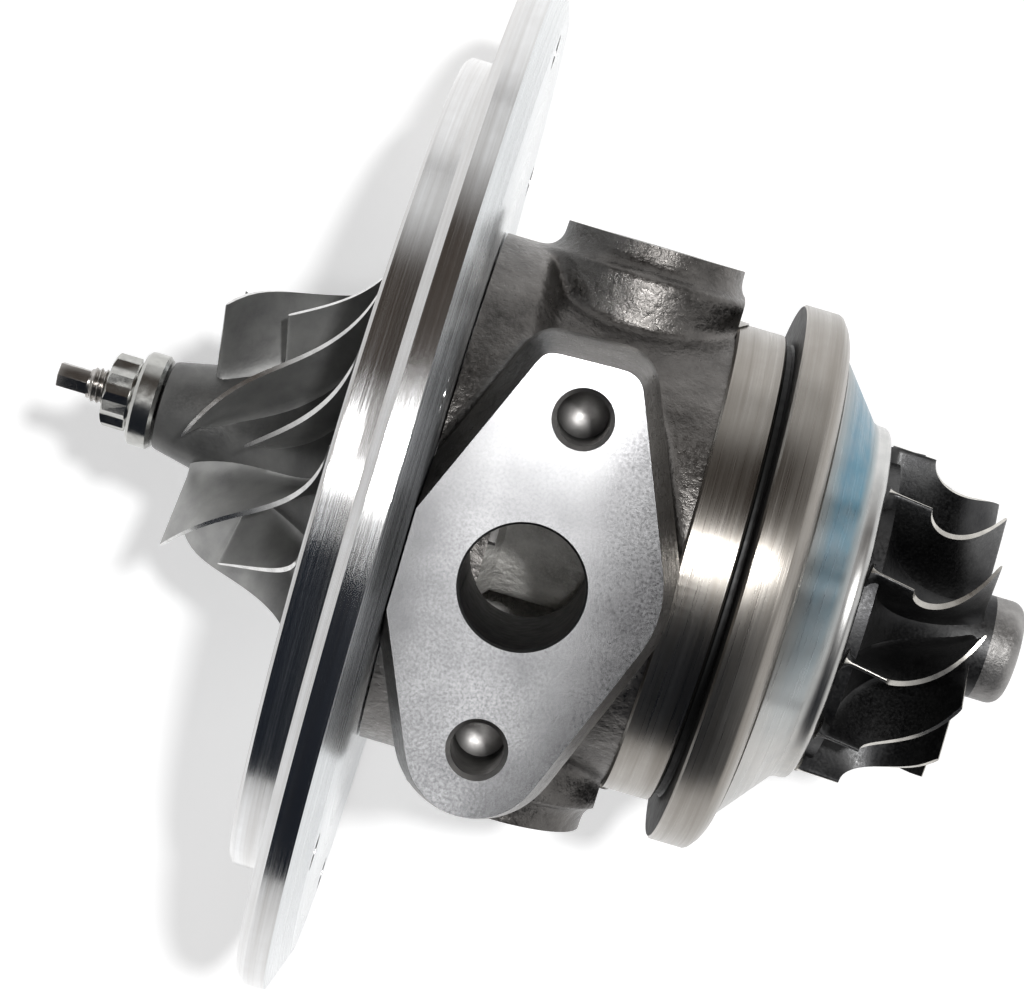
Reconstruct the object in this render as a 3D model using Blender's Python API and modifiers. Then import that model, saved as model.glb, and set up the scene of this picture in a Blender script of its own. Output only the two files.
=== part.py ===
"""Turbocharger cartridge: bearing housing, rotor and compressor backplate.

Units are metres, with +Z up. The shaft lies along X, from the compressor wheel at -X to the
turbine wheel at +X. The origin is on the shaft's axis, in the plane of the ring face that the
turbine housing seats on. The oil drain pad faces +Z.
"""
from math import cos, pi, radians, sin, sqrt, tan

import bmesh
import bpy
from mathutils import Matrix, Vector

# Fits between pieces
FIT_GAP = 0.0003
RUNNING_GAP = 0.00035
THRUST_GAP = 0.0003
WHEEL_BACK_GAP = 0.0004

# Facets round a full turn
DISC_STEPS = 40
BODY_STEPS = 28
WHEEL_STEPS = 24
BOSS_STEPS = 20
SMALL_STEPS = 16
SHARP_ANGLE = radians(32)

# Turbine-side flange and the turned land in front of it
SEAT_OUTER_RADIUS = 0.0366
SEAT_RECESS_DEPTH = 0.0008
TURBINE_FLANGE_RADIUS = 0.0395
TURBINE_FLANGE_WIDTH = 0.0071
FLANGE_TAPER_LENGTH = 0.0018
FLANGE_CHAMFER = 0.0005
CLAMP_GROOVE_RADIUS = 0.0332
CLAMP_GROOVE_WIDTH = 0.0013
LAND_RADIUS = 0.0344
LAND_WIDTH = 0.0072
LAND_CHAMFER = 0.0003

# Cast body of the bearing housing
HOUSING_LENGTH = 0.0502
BODY_RADIUS = 0.0336
SHOULDER_RADIUS = 0.0373
SHOULDER_WIDTH = 0.0070
SHOULDER_SLOPE_LENGTH = 0.0032
FACING_STOCK = 0.0010
NOSE_LENGTH = 0.0072
NOSE_TIP_RADIUS = 0.0190
NOSE_ROOT_RADIUS = 0.0268

# Oil drain pad: corners from the pad's centre, each with its own rounding
PAD_X = -0.0338
PAD_Y = -0.0035
PAD_HEIGHT = 0.0520
PAD_TOP_LEFT = (-0.0064, 0.0289, 0.0020)
PAD_TOP_RIGHT = (0.0059, 0.0294, 0.0029)
PAD_RIGHT = (0.0178, 0.0010, 0.0140)
PAD_FOOT = (-0.0002, -0.0453, 0.0089)
PAD_LEFT = (-0.0193, -0.0015, 0.0160)
PAD_DRAFT = 0.0023
PAD_DRAFT_HEIGHT = 0.0110
PAD_NECK_Z = 0.0290
PAD_ROOT_Z = 0.0120
PAD_ROOT_SHARE = 0.82
DRAIN_BORE_RADIUS = 0.0080
DRAIN_BORE_SHIFT = (-0.00085, -0.0005)
DRAIN_BOLT_PITCH = 0.0439
DRAIN_BOLT_RADIUS = 0.0034
DRAIN_BOLT_CHAMFER = 0.0007
DRAIN_BOLT_DEPTH = 0.0140
DRAIN_BOLT_TURN = radians(1.3)

# Coolant bosses on both sides and the oil inlet boss below
PORT_X = -0.0295
PORT_REACH = 0.0415
PORT_BOSS_RADIUS = 0.0130
PORT_BOSS_FILLET = 0.0026
PORT_BORE_RADIUS = 0.0062
PORT_BORE_DEPTH = 0.0130
INLET_X = -0.0215
INLET_REACH = 0.0405
INLET_BOSS_RADIUS = 0.0105
INLET_BORE_RADIUS = 0.0046
INLET_BORE_DEPTH = 0.0130
PORT_CHAMFER = 0.0009
WALL_UNDER_BOSS = 0.0020
OIL_DRILLING_RADIUS = 0.0012
OIL_WEB_HALF_WIDTH = 0.0045

# Bearings and the rotor's journals
JOURNAL_RADIUS = 0.00475
RELIEF_RADIUS = 0.0043
BEARING_WALL = 0.0024
BEARING_LENGTH = 0.0080
BEARING_OIL_HOLE_RADIUS = 0.0009
BEARING_OIL_HOLES = 4
COMPRESSOR_BEARING_X = -0.0345
TURBINE_BEARING_X = -0.0095
RING_WIDTH = 0.0010
RING_INNER_RADIUS = 0.0064
RING_DEPTH_IN_GROOVE = 0.0008
RING_MOUTH_ANGLE = radians(40)
DRAIN_CHAMBER_INNER_RADIUS = 0.0122
DRAIN_CHAMBER_OUTER_RADIUS = 0.0235
DRAIN_CHAMBER_START = -0.0405
DRAIN_CHAMBER_END = -0.0135

# Turbine-side seal
SEAL_BOSS_RADIUS = 0.0084
SEAL_BOSS_START = -0.0024
SEAL_GROOVE_X = 0.0042
SEAL_GROOVE_WIDTH = 0.0018
SEAL_GROOVE_RADIUS = 0.0066
SEAL_RING_WIDTH = 0.0012

# Thrust pieces
COLLAR_FLANGE_RADIUS = 0.0095
COLLAR_FLANGE_WIDTH = 0.0026
COLLAR_NECK_RADIUS = 0.0059
THRUST_PLATE_RADIUS = 0.0165
THRUST_PLATE_WIDTH = 0.0030
THRUST_PADS = 6
THRUST_PIN_RADIUS = 0.0010
THRUST_PIN_CIRCLE = 0.0135
THRUST_PIN_LENGTH = 0.0056
THRUST_RECESS_DEPTH = 0.0059
FLINGER_RADIUS = 0.0110
FLINGER_WIDTH = 0.0015
DEFLECTOR_WIDTH = 0.0008
DEFLECTOR_INNER_RADIUS = 0.0092
SPACER_RADIUS = 0.0083
SPACER_GROOVE_RADIUS = 0.0064
SPACER_GROOVE_SETBACK = 0.0026

# Compressor backplate
BACKPLATE_RADIUS = 0.0748
REAR_LAND_WIDTH = 0.0064
REAR_TAPER_WIDTH = 0.0021
REAR_TAPER_DEPTH = 0.0060
RIM_WIDTH = 0.0154
FRONT_LAND_WIDTH = 0.0054
FRONT_CHAMFER = 0.0005
STEP_CHAMFER = 0.0014
STEP_GROOVE_WIDTH = 0.0012
STEP_GROOVE_DEPTH = 0.0010
WHEEL_RECESS_RADIUS = 0.0312
WHEEL_RECESS_DEPTH = 0.0027
RIM_HOLE_EDGE = 0.0016
RIM_HOLES = 6
RIM_HOLE_PHASE = radians(-44.4)
SCREW_CIRCLE = 0.0262
SCREWS = 4
SCREW_PHASE = radians(45)
SCREW_SHANK_RADIUS = 0.0025
SCREW_HEAD_RADIUS = 0.0041
SCREW_HEAD_WIDTH = 0.0030
SCREW_LENGTH = 0.0145
SCREW_SOCKET_RADIUS = 0.0021
SCREW_SOCKET_DEPTH = 0.0016
O_RING_CENTRE_RADIUS = 0.0317
O_RING_WIRE_RADIUS = 0.0010

# Heat shield
SHIELD_WALL = 0.0009
SHIELD_RIM_RADIUS = 0.0348
SHIELD_LIP_RADIUS = 0.0260
SHIELD_LIP_WIDTH = 0.0025
SHIELD_REACH = 0.0096
SHIELD_FILLET = 0.0016
SHIELD_HOLE_RADIUS = 0.0093
SHIELD_ROUND = 0.0006
SHIELD_RIM_ROUND = 0.0007

# Turbine wheel
TURBINE_BLADES = 12
TURBINE_PHASE = radians(19.3)
TURBINE_TIP_RADIUS = 0.0246
TURBINE_BACK_RADIUS = 0.0225
TURBINE_BACK_RIM = 0.0018
TURBINE_INLET_WIDTH = 0.0064
TURBINE_WHEEL_LENGTH = 0.0190
TURBINE_EXIT_RADIUS = 0.0202
TURBINE_HUB_RADIUS = 0.0075
TURBINE_EXIT_LEAN = 0.0010
TURBINE_NOSE_LENGTH = 0.0066
TURBINE_NOSE_ROUND = 0.0020
TURBINE_SLANT = radians(2.3)
TURBINE_DIP = radians(4)
TURBINE_EXIT_TURN = radians(21)
TURBINE_EXIT_POWER = 5
TURBINE_BLADE_ROOT = 0.0015
TURBINE_BLADE_TIP = 0.0008

# Compressor wheel
COMPRESSOR_BLADES = 6
COMPRESSOR_PHASE = radians(-4)
COMPRESSOR_TIP_RADIUS = 0.0300
COMPRESSOR_BACK_WIDTH = 0.0016
COMPRESSOR_OUTLET_WIDTH = 0.0027
COMPRESSOR_BLADE_LENGTH = 0.0223
COMPRESSOR_INLET_RADIUS = 0.0204
COMPRESSOR_INLET_HUB_RADIUS = 0.0078
COMPRESSOR_INLET_LEAN = 0.0007
COMPRESSOR_NOSE_LENGTH = 0.0066
COMPRESSOR_NOSE_RADIUS = 0.0065
COMPRESSOR_NOSE_ROUND = 0.0007
COMPRESSOR_SWEEP = radians(20)
COMPRESSOR_SWEEP_POWER = 8
COMPRESSOR_WRAP = radians(52)
SPLITTER_START = 0.28
COMPRESSOR_BLADE_ROOT = 0.0014
COMPRESSOR_BLADE_TIP = 0.0007
BLADE_EDGE_SETBACK = 0.0002
BLADE_ROOT_SINK = 0.0007

# Compressor end of the shaft and its nut
SEAT_SHAFT_RADIUS = 0.0032
THREAD_RADIUS = 0.0026
THREAD_LENGTH = 0.0107
DRIVE_END_LENGTH = 0.0045
DRIVE_END_ACROSS = 0.0034
NUT_FLANGE_RADIUS = 0.0069
NUT_FLANGE_WIDTH = 0.0035
NUT_NECK_WIDTH = 0.0007
NUT_NECK_RADIUS = 0.0049
NUT_POINTS_RADIUS = 0.0054
NUT_POINTS_WIDTH = 0.0036
NUT_CHAMFER = 0.0006

# Stations along the shaft, worked out from the sizes above
HOUSING_FRONT_X = -HOUSING_LENGTH
BACKPLATE_REAR_X = HOUSING_FRONT_X - FIT_GAP
STEP_X = BACKPLATE_REAR_X - REAR_LAND_WIDTH
BACKPLATE_FRONT_X = STEP_X - FRONT_LAND_WIDTH
RECESS_FLOOR_X = BACKPLATE_FRONT_X + WHEEL_RECESS_DEPTH
FRONT_LAND_RADIUS = BACKPLATE_RADIUS - RIM_WIDTH
STEP_FACE_RADIUS = FRONT_LAND_RADIUS + STEP_GROOVE_WIDTH
REAR_FACE_RADIUS = BACKPLATE_RADIUS - REAR_TAPER_DEPTH
SEAT_INNER_RADIUS = SHIELD_RIM_RADIUS + FIT_GAP
RIM_HOLE_CIRCLE = (STEP_FACE_RADIUS + REAR_FACE_RADIUS) / 2
RIM_HOLE_RADIUS = (REAR_FACE_RADIUS - STEP_FACE_RADIUS) / 2 - RIM_HOLE_EDGE
LAND_END_X = -TURBINE_FLANGE_WIDTH - CLAMP_GROOVE_WIDTH
LAND_START_X = LAND_END_X - LAND_WIDTH
WHEEL_BACK_X = RECESS_FLOOR_X - WHEEL_BACK_GAP
COMPRESSOR_EXIT_X = WHEEL_BACK_X - COMPRESSOR_BACK_WIDTH
COMPRESSOR_INLET_X = COMPRESSOR_EXIT_X - COMPRESSOR_BLADE_LENGTH
COMPRESSOR_NOSE_X = COMPRESSOR_INLET_X - COMPRESSOR_NOSE_LENGTH
NUT_BACK_X = COMPRESSOR_NOSE_X - FIT_GAP
TURBINE_BACK_X = SHIELD_REACH + WHEEL_BACK_GAP
TURBINE_EXIT_X = TURBINE_BACK_X + TURBINE_WHEEL_LENGTH
BEARING_OUTER_RADIUS = JOURNAL_RADIUS + RUNNING_GAP + BEARING_WALL
BEARING_BORE_RADIUS = BEARING_OUTER_RADIUS + RUNNING_GAP
RING_OUTER_RADIUS = BEARING_BORE_RADIUS + RING_DEPTH_IN_GROOVE
RING_GROOVE_RADIUS = RING_OUTER_RADIUS + FIT_GAP
SEAL_BORE_RADIUS = SEAL_BOSS_RADIUS + RUNNING_GAP
THRUST_FLOOR_X = HOUSING_FRONT_X + THRUST_RECESS_DEPTH
PLATE_FRONT_X = THRUST_FLOOR_X - FIT_GAP
PLATE_REAR_X = PLATE_FRONT_X - THRUST_PLATE_WIDTH
COLLAR_FACE_X = PLATE_FRONT_X + THRUST_GAP
COLLAR_END_X = COLLAR_FACE_X + COLLAR_FLANGE_WIDTH
SPACER_FACE_X = PLATE_REAR_X - THRUST_GAP
FLINGER_REAR_X = SPACER_FACE_X - FLINGER_WIDTH
DEFLECTOR_FRONT_X = FLINGER_REAR_X - FIT_GAP
DEFLECTOR_REAR_X = DEFLECTOR_FRONT_X - DEFLECTOR_WIDTH
DEFLECTOR_POCKET_X = DEFLECTOR_REAR_X - FIT_GAP
SPACER_END_X = WHEEL_BACK_X + FIT_GAP
SPACER_BORE_RADIUS = SEAT_SHAFT_RADIUS + FIT_GAP
BACKPLATE_BORE_RADIUS = SPACER_RADIUS + RUNNING_GAP
SHAFT_STEP_X = COLLAR_END_X + FIT_GAP
SCREW_HEAD_X = RECESS_FLOOR_X + FIT_GAP
SCREW_SEAT_X = SCREW_HEAD_X + SCREW_HEAD_WIDTH


def clear_scene():
    for item in list(bpy.data.objects):
        bpy.data.objects.remove(item, do_unlink=True)


def new_collection(name):
    group = bpy.data.collections.new(name)
    bpy.context.scene.collection.children.link(group)
    return group


def make_material(name, colour, roughness, metallic):
    material = bpy.data.materials.new(name)
    material.use_nodes = True
    shader = material.node_tree.nodes["Principled BSDF"]
    shader.inputs["Base Color"].default_value = (*colour, 1.0)
    shader.inputs["Roughness"].default_value = roughness
    shader.inputs["Metallic"].default_value = metallic
    return material


clear_scene()
PARTS = new_collection("turbocharger_cartridge")
CUTTERS = new_collection("cutters")

CAST_IRON = make_material("cast_iron", (0.06, 0.058, 0.055), 0.55, 0.8)
TURNED_ALUMINIUM = make_material("turned_aluminium", (0.72, 0.73, 0.74), 0.25, 1.0)
CAST_ALUMINIUM = make_material("cast_aluminium", (0.42, 0.42, 0.42), 0.38, 1.0)
SHIELD_STEEL = make_material("shield_steel", (0.45, 0.55, 0.60), 0.35, 1.0)
NICKEL_ALLOY = make_material("nickel_alloy", (0.07, 0.07, 0.075), 0.45, 1.0)
SHAFT_STEEL = make_material("shaft_steel", (0.50, 0.49, 0.47), 0.25, 1.0)
NUT_STEEL = make_material("nut_steel", (0.45, 0.45, 0.43), 0.25, 1.0)
BRONZE = make_material("bearing_bronze", (0.62, 0.42, 0.18), 0.35, 1.0)
SPRING_STEEL = make_material("spring_steel", (0.25, 0.25, 0.26), 0.40, 1.0)
RUBBER = make_material("rubber", (0.02, 0.02, 0.02), 0.60, 0.0)


def add_object(name, mesh, material, parent=None):
    """Put a mesh in the parts' collection, under its parent empty where it has one."""
    piece = bpy.data.objects.new(name, mesh)
    PARTS.objects.link(piece)
    piece.parent = parent
    if material is not None:
        mesh.materials.clear()
        mesh.materials.append(material)
    return piece


def as_cutter(piece):
    """Move a piece to the cutters' collection, where it is only a tool."""
    PARTS.objects.unlink(piece)
    CUTTERS.objects.link(piece)
    piece.hide_render = True
    piece.display_type = 'WIRE'
    return piece


def bake(piece):
    """Replace a piece's mesh with the result of its modifiers."""
    bpy.context.view_layer.update()
    graph = bpy.context.evaluated_depsgraph_get()
    result = bpy.data.meshes.new_from_object(piece.evaluated_get(graph))
    piece.modifiers.clear()
    piece.data = result
    piece.data.name = piece.name
    return piece


def shade(piece):
    piece.data.shade_smooth()
    piece.data.set_sharp_from_angle(angle=SHARP_ANGLE)
    return piece


def boolean(piece, tool, operation):
    modifier = piece.modifiers.new(operation.lower(), 'BOOLEAN')
    modifier.operation = operation
    modifier.object = tool
    modifier.solver = 'EXACT'


def cut(piece, *tools):
    for tool in tools:
        boolean(piece, tool, 'DIFFERENCE')


def join(piece, *tools):
    for tool in tools:
        boolean(piece, tool, 'UNION')


def turned(name, profile, steps, material=None, parent=None, ring=False):
    """Turn a profile of (x, radius) points about X.

    The points run along the outer side from +X to -X, and a ring's points go on back
    through its bore.
    """
    mesh = bpy.data.meshes.new(name)
    points = [(x, radius, 0.0) for x, radius in profile]
    edges = [(index, index + 1) for index in range(len(points) - 1)]
    if ring:
        edges.append((len(points) - 1, 0))
    mesh.from_pydata(points, edges, [])
    piece = add_object(name, mesh, material, parent)
    screw = piece.modifiers.new("turn", 'SCREW')
    screw.axis = 'X'
    screw.steps = steps
    screw.render_steps = steps
    screw.use_merge_vertices = True
    screw.merge_threshold = 0.000001
    return bake(piece)


def tube_profile(start, end, outer, inner):
    """A plain sleeve from start to end along X, with start the larger."""
    return [(start, outer), (end, outer), (end, inner), (start, inner)]


def place_along(piece, point, direction):
    """Turn a piece made along X to point along a direction, and move it to a point."""
    turn = Vector((1, 0, 0)).rotation_difference(Vector(direction))
    piece.rotation_mode = 'QUATERNION'
    piece.rotation_quaternion = turn
    piece.location = point
    return piece


def drill(name, point, direction, radius, depth, chamfer=0.0, steps=SMALL_STEPS):
    """A drill-shaped cutter that enters at a point and goes along a direction."""
    run_in = 2 * radius
    tip = depth + 0.5 * radius
    profile = [(tip, 0.0), (depth, radius)]
    if chamfer:
        profile += [(chamfer, radius), (-run_in, radius + chamfer + run_in)]
        profile.append((-run_in, 0.0))
    else:
        profile += [(-run_in, radius), (-run_in, 0.0)]
    tool = turned(name, profile, steps)
    return as_cutter(place_along(tool, point, direction))


def rod(name, start, end, radius, steps=SMALL_STEPS, material=None):
    """A plain cylinder between two points."""
    axis = Vector(end) - Vector(start)
    shape = bmesh.new()
    turn = Vector((0, 0, 1)).rotation_difference(axis).to_matrix().to_4x4()
    middle = Matrix.Translation((Vector(start) + Vector(end)) / 2)
    bmesh.ops.create_cone(shape, cap_ends=True, segments=steps, radius1=radius,
                          radius2=radius, depth=axis.length, matrix=middle @ turn)
    mesh = bpy.data.meshes.new(name)
    shape.to_mesh(mesh)
    shape.free()
    return add_object(name, mesh, material)


def around(radius, angle):
    """The (y, z) point at a radius, with the angle counted from +Z towards +Y."""
    return radius * sin(angle), radius * cos(angle)


def prism(name, outline, start, end, material=None, parent=None):
    """Extrude an outline of (y, z) points along X between two stations."""
    shape = bmesh.new()
    loops = []
    for station in (start, end):
        loops.append([shape.verts.new((station, y, z)) for y, z in outline])
    count = len(outline)
    for index in range(count):
        following = (index + 1) % count
        shape.faces.new((loops[0][index], loops[0][following],
                         loops[1][following], loops[1][index]))
    shape.faces.new(reversed(loops[0]))
    shape.faces.new(loops[1])
    bmesh.ops.recalc_face_normals(shape, faces=shape.faces)
    mesh = bpy.data.meshes.new(name)
    shape.to_mesh(mesh)
    shape.free()
    return add_object(name, mesh, material, parent)


def rounded_outline(corners, arc_steps=4):
    """Round each (x, y, radius) corner of a polygon that runs clockwise."""
    outline = []
    count = len(corners)
    for index, (x, y, radius) in enumerate(corners):
        corner = Vector((x, y))
        before = (Vector(corners[index - 1][:2]) - corner).normalized()
        after = (Vector(corners[(index + 1) % count][:2]) - corner).normalized()
        half = before.angle(after) / 2
        centre = corner + (before + after).normalized() * radius / sin(half)
        first = corner + before * radius / tan(half) - centre
        last = corner + after * radius / tan(half) - centre
        sweep = first.angle_signed(last)
        for step in range(arc_steps + 1):
            turned_arm = first.copy()
            turned_arm.rotate(Matrix.Rotation(-sweep * step / arc_steps, 2))
            outline.append(centre + turned_arm)
    return outline


def grown_outline(outline, distance):
    """Move each point of a clockwise outline outwards."""
    grown = []
    count = len(outline)
    for index, point in enumerate(outline):
        along = (outline[(index + 1) % count] - outline[index - 1]).normalized()
        grown.append(point + Vector((-along.y, along.x)) * distance)
    return grown


def drain_pad():
    """The cast pad under the oil drain face: drafted walls and a root that thins below."""
    corners = (PAD_TOP_LEFT, PAD_TOP_RIGHT, PAD_RIGHT, PAD_FOOT, PAD_LEFT)
    outline = rounded_outline(corners)
    plate = grown_outline(outline, PAD_DRAFT)
    levels = (
        (PAD_HEIGHT, outline),
        (PAD_HEIGHT - PAD_DRAFT_HEIGHT, plate),
        (PAD_NECK_Z, plate),
        (PAD_ROOT_Z, [point * PAD_ROOT_SHARE for point in outline]),
    )
    shape = bmesh.new()
    loops = []
    for height, section in levels:
        loops.append([shape.verts.new((PAD_X + point.x, PAD_Y + point.y, height))
                      for point in section])
    count = len(outline)
    for upper, lower in zip(loops, loops[1:]):
        for index in range(count):
            following = (index + 1) % count
            shape.faces.new((upper[index], upper[following],
                             lower[following], lower[index]))
    shape.faces.new(loops[0])
    shape.faces.new(reversed(loops[-1]))
    bmesh.ops.recalc_face_normals(shape, faces=shape.faces)
    mesh = bpy.data.meshes.new("drain_pad")
    shape.to_mesh(mesh)
    shape.free()
    return as_cutter(add_object("drain_pad", mesh, None))


def side_boss(name, x, direction, reach, radius, fillet):
    """A round cast boss that stands out of the body and widens where it leaves it."""
    base = SHOULDER_RADIUS
    profile = [(reach, 0.0), (reach, radius)]
    arc_steps = 2
    for step in range(arc_steps + 1):
        angle = pi / 2 * step / arc_steps
        profile.append((base + fillet * (1 - sin(angle)), radius + fillet * (1 - cos(angle))))
    sunk = DRAIN_CHAMBER_OUTER_RADIUS + WALL_UNDER_BOSS
    profile.append((sunk, radius + fillet))
    profile.append((sunk, 0.0))
    tool = turned(name, profile, BOSS_STEPS)
    return as_cutter(place_along(tool, (x, 0, 0), direction))


def housing_outside():
    """The turned and cast outside of the bearing housing, from the nose to the joint."""
    slope_end = HOUSING_FRONT_X + SHOULDER_WIDTH + SHOULDER_SLOPE_LENGTH
    flange_front = -TURBINE_FLANGE_WIDTH
    profile = [
        (NOSE_LENGTH, 0.0),
        (NOSE_LENGTH, NOSE_TIP_RADIUS),
        (-SEAT_RECESS_DEPTH, NOSE_ROOT_RADIUS),
        (-SEAT_RECESS_DEPTH, SEAT_INNER_RADIUS),
        (0.0, SEAT_INNER_RADIUS),
        (0.0, SEAT_OUTER_RADIUS),
        (-FLANGE_TAPER_LENGTH * 0.35, (SEAT_OUTER_RADIUS + TURBINE_FLANGE_RADIUS) / 2),
        (-FLANGE_TAPER_LENGTH, TURBINE_FLANGE_RADIUS),
        (flange_front + FLANGE_CHAMFER, TURBINE_FLANGE_RADIUS),
        (flange_front, TURBINE_FLANGE_RADIUS - FLANGE_CHAMFER),
        (flange_front, CLAMP_GROOVE_RADIUS),
        (LAND_END_X, CLAMP_GROOVE_RADIUS),
        (LAND_END_X, LAND_RADIUS - LAND_CHAMFER),
        (LAND_END_X - LAND_CHAMFER, LAND_RADIUS),
        (LAND_START_X, LAND_RADIUS),
        (LAND_START_X, BODY_RADIUS),
        (slope_end, BODY_RADIUS),
        (HOUSING_FRONT_X + SHOULDER_WIDTH, SHOULDER_RADIUS),
        (HOUSING_FRONT_X - FACING_STOCK, SHOULDER_RADIUS),
        (HOUSING_FRONT_X - FACING_STOCK, 0.0),
    ]
    return turned("bearing_housing", profile, BODY_STEPS, CAST_IRON)


def machining_pass():
    """The ring that turning the land takes off the bosses and the pad."""
    outer = PAD_HEIGHT + SHOULDER_RADIUS
    start = -TURBINE_FLANGE_WIDTH - CLAMP_GROOVE_WIDTH / 2
    profile = tube_profile(start, LAND_START_X, outer, LAND_RADIUS + FIT_GAP)
    return as_cutter(turned("machining_pass", profile, BODY_STEPS, ring=True))


def facing_cut():
    """What facing the joint takes off the stock and the pad's corner."""
    start = (HOUSING_FRONT_X, 0, 0)
    end = (HOUSING_FRONT_X - 2 * FACING_STOCK - PAD_DRAFT_HEIGHT, 0, 0)
    return as_cutter(rod("facing_cut", start, end, PAD_HEIGHT + SHOULDER_RADIUS, BODY_STEPS))


def ring_stations():
    """The middle of each retaining ring, from the compressor side to the turbine side."""
    offset = BEARING_LENGTH / 2 + 2 * FIT_GAP + RING_WIDTH / 2
    stations = []
    for centre in (COMPRESSOR_BEARING_X, TURBINE_BEARING_X):
        stations += [centre - offset, centre + offset]
    return stations


def main_bore():
    """Everything bored about the shaft's axis, from the nose to the thrust recess."""
    over = 0.002
    profile = [
        (NOSE_LENGTH + over, 0.0),
        (NOSE_LENGTH + over, SEAL_BORE_RADIUS),
        (SEAL_BOSS_START - FIT_GAP, SEAL_BORE_RADIUS),
        (SEAL_BOSS_START - FIT_GAP, BEARING_BORE_RADIUS),
    ]
    half = RING_WIDTH / 2 + FIT_GAP
    for station in reversed(ring_stations()):
        profile += [
            (station + half, BEARING_BORE_RADIUS),
            (station + half, RING_GROOVE_RADIUS),
            (station - half, RING_GROOVE_RADIUS),
            (station - half, BEARING_BORE_RADIUS),
        ]
    profile += [
        (COLLAR_END_X + FIT_GAP, BEARING_BORE_RADIUS),
        (COLLAR_END_X + FIT_GAP, COLLAR_FLANGE_RADIUS + RUNNING_GAP),
        (THRUST_FLOOR_X, COLLAR_FLANGE_RADIUS + RUNNING_GAP),
        (THRUST_FLOOR_X, THRUST_PLATE_RADIUS + FIT_GAP),
        (HOUSING_FRONT_X - over, THRUST_PLATE_RADIUS + FIT_GAP),
        (HOUSING_FRONT_X - over, 0.0),
    ]
    return as_cutter(turned("main_bore", profile, SMALL_STEPS))


def drain_chamber():
    """The cored space round the bearing tube, with a web left for the oil drillings."""
    profile = tube_profile(DRAIN_CHAMBER_END, DRAIN_CHAMBER_START,
                           DRAIN_CHAMBER_OUTER_RADIUS, DRAIN_CHAMBER_INNER_RADIUS)
    chamber = turned("drain_chamber", profile, BOSS_STEPS, ring=True)
    outer = DRAIN_CHAMBER_OUTER_RADIUS + 0.001
    inner = DRAIN_CHAMBER_INNER_RADIUS * 0.7
    outline = [(-OIL_WEB_HALF_WIDTH, -outer), (OIL_WEB_HALF_WIDTH, -outer),
               (OIL_WEB_HALF_WIDTH, -inner), (-OIL_WEB_HALF_WIDTH, -inner)]
    web = prism("oil_web", outline, DRAIN_CHAMBER_END + 0.001, DRAIN_CHAMBER_START - 0.001)
    cut(chamber, as_cutter(web))
    return as_cutter(bake(chamber))


def drain_bore():
    """The drain opening, from its chamfered mouth down into the chamber."""
    floor = (DRAIN_CHAMBER_INNER_RADIUS + DRAIN_CHAMBER_OUTER_RADIUS) / 2
    over = 0.002
    mouth = DRAIN_BORE_RADIUS + DRAIN_BOLT_CHAMFER
    profile = [
        (PAD_HEIGHT + over, 0.0),
        (PAD_HEIGHT + over, mouth + over - 0.0004),
        (PAD_HEIGHT - 0.0004, DRAIN_BORE_RADIUS),
        (floor, DRAIN_BORE_RADIUS),
        (floor, 0.0),
    ]
    tool = turned("drain_bore", profile, WHEEL_STEPS)
    shift_x, shift_y = DRAIN_BORE_SHIFT
    return as_cutter(place_along(tool, (PAD_X + shift_x, PAD_Y + shift_y, 0), (0, 0, 1)))


def drain_bolt_holes():
    holes = []
    for side in (-1, 1):
        reach = side * DRAIN_BOLT_PITCH / 2
        point = (PAD_X + reach * sin(DRAIN_BOLT_TURN),
                 PAD_Y + reach * cos(DRAIN_BOLT_TURN), PAD_HEIGHT)
        holes.append(drill("drain_bolt_hole", point, (0, 0, -1), DRAIN_BOLT_RADIUS,
                           DRAIN_BOLT_DEPTH, DRAIN_BOLT_CHAMFER))
    return holes


def coolant_bores():
    bores = []
    for side in (-1, 1):
        bores.append(drill("coolant_bore", (PORT_X, side * PORT_REACH, 0), (0, -side, 0),
                           PORT_BORE_RADIUS, PORT_BORE_DEPTH, PORT_CHAMFER))
    return bores


def oil_inlet_bores():
    """The feed bore and the two drillings that take its oil to the bearings."""
    tools = [drill("oil_inlet_bore", (INLET_X, 0, -INLET_REACH), (0, 0, 1),
                   INLET_BORE_RADIUS, INLET_BORE_DEPTH, PORT_CHAMFER)]
    start = (INLET_X, 0, -INLET_REACH + INLET_BORE_DEPTH - INLET_BORE_RADIUS)
    for station in (COMPRESSOR_BEARING_X, TURBINE_BEARING_X):
        end = (station, 0, -BEARING_BORE_RADIUS + 2 * OIL_DRILLING_RADIUS)
        tools.append(as_cutter(rod("oil_drilling", start, end, OIL_DRILLING_RADIUS, 10)))
    return tools


def thrust_pin_holes():
    holes = []
    for side in (-1, 1):
        point = (THRUST_FLOOR_X, side * THRUST_PIN_CIRCLE, 0)
        depth = THRUST_PIN_LENGTH - THRUST_PLATE_WIDTH
        holes.append(drill("thrust_pin_hole", point, (1, 0, 0),
                           THRUST_PIN_RADIUS + FIT_GAP, depth, steps=12))
    return holes


def screw_angles():
    return [SCREW_PHASE + 2 * pi * index / SCREWS for index in range(SCREWS)]


def screw_tapped_holes():
    holes = []
    for angle in screw_angles():
        y, z = around(SCREW_CIRCLE, angle)
        depth = SCREW_SEAT_X + SCREW_LENGTH - HOUSING_FRONT_X + FIT_GAP
        holes.append(drill("tapped_hole", (HOUSING_FRONT_X, y, z), (1, 0, 0),
                           SCREW_SHANK_RADIUS + FIT_GAP, depth, steps=12))
    return holes


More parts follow.
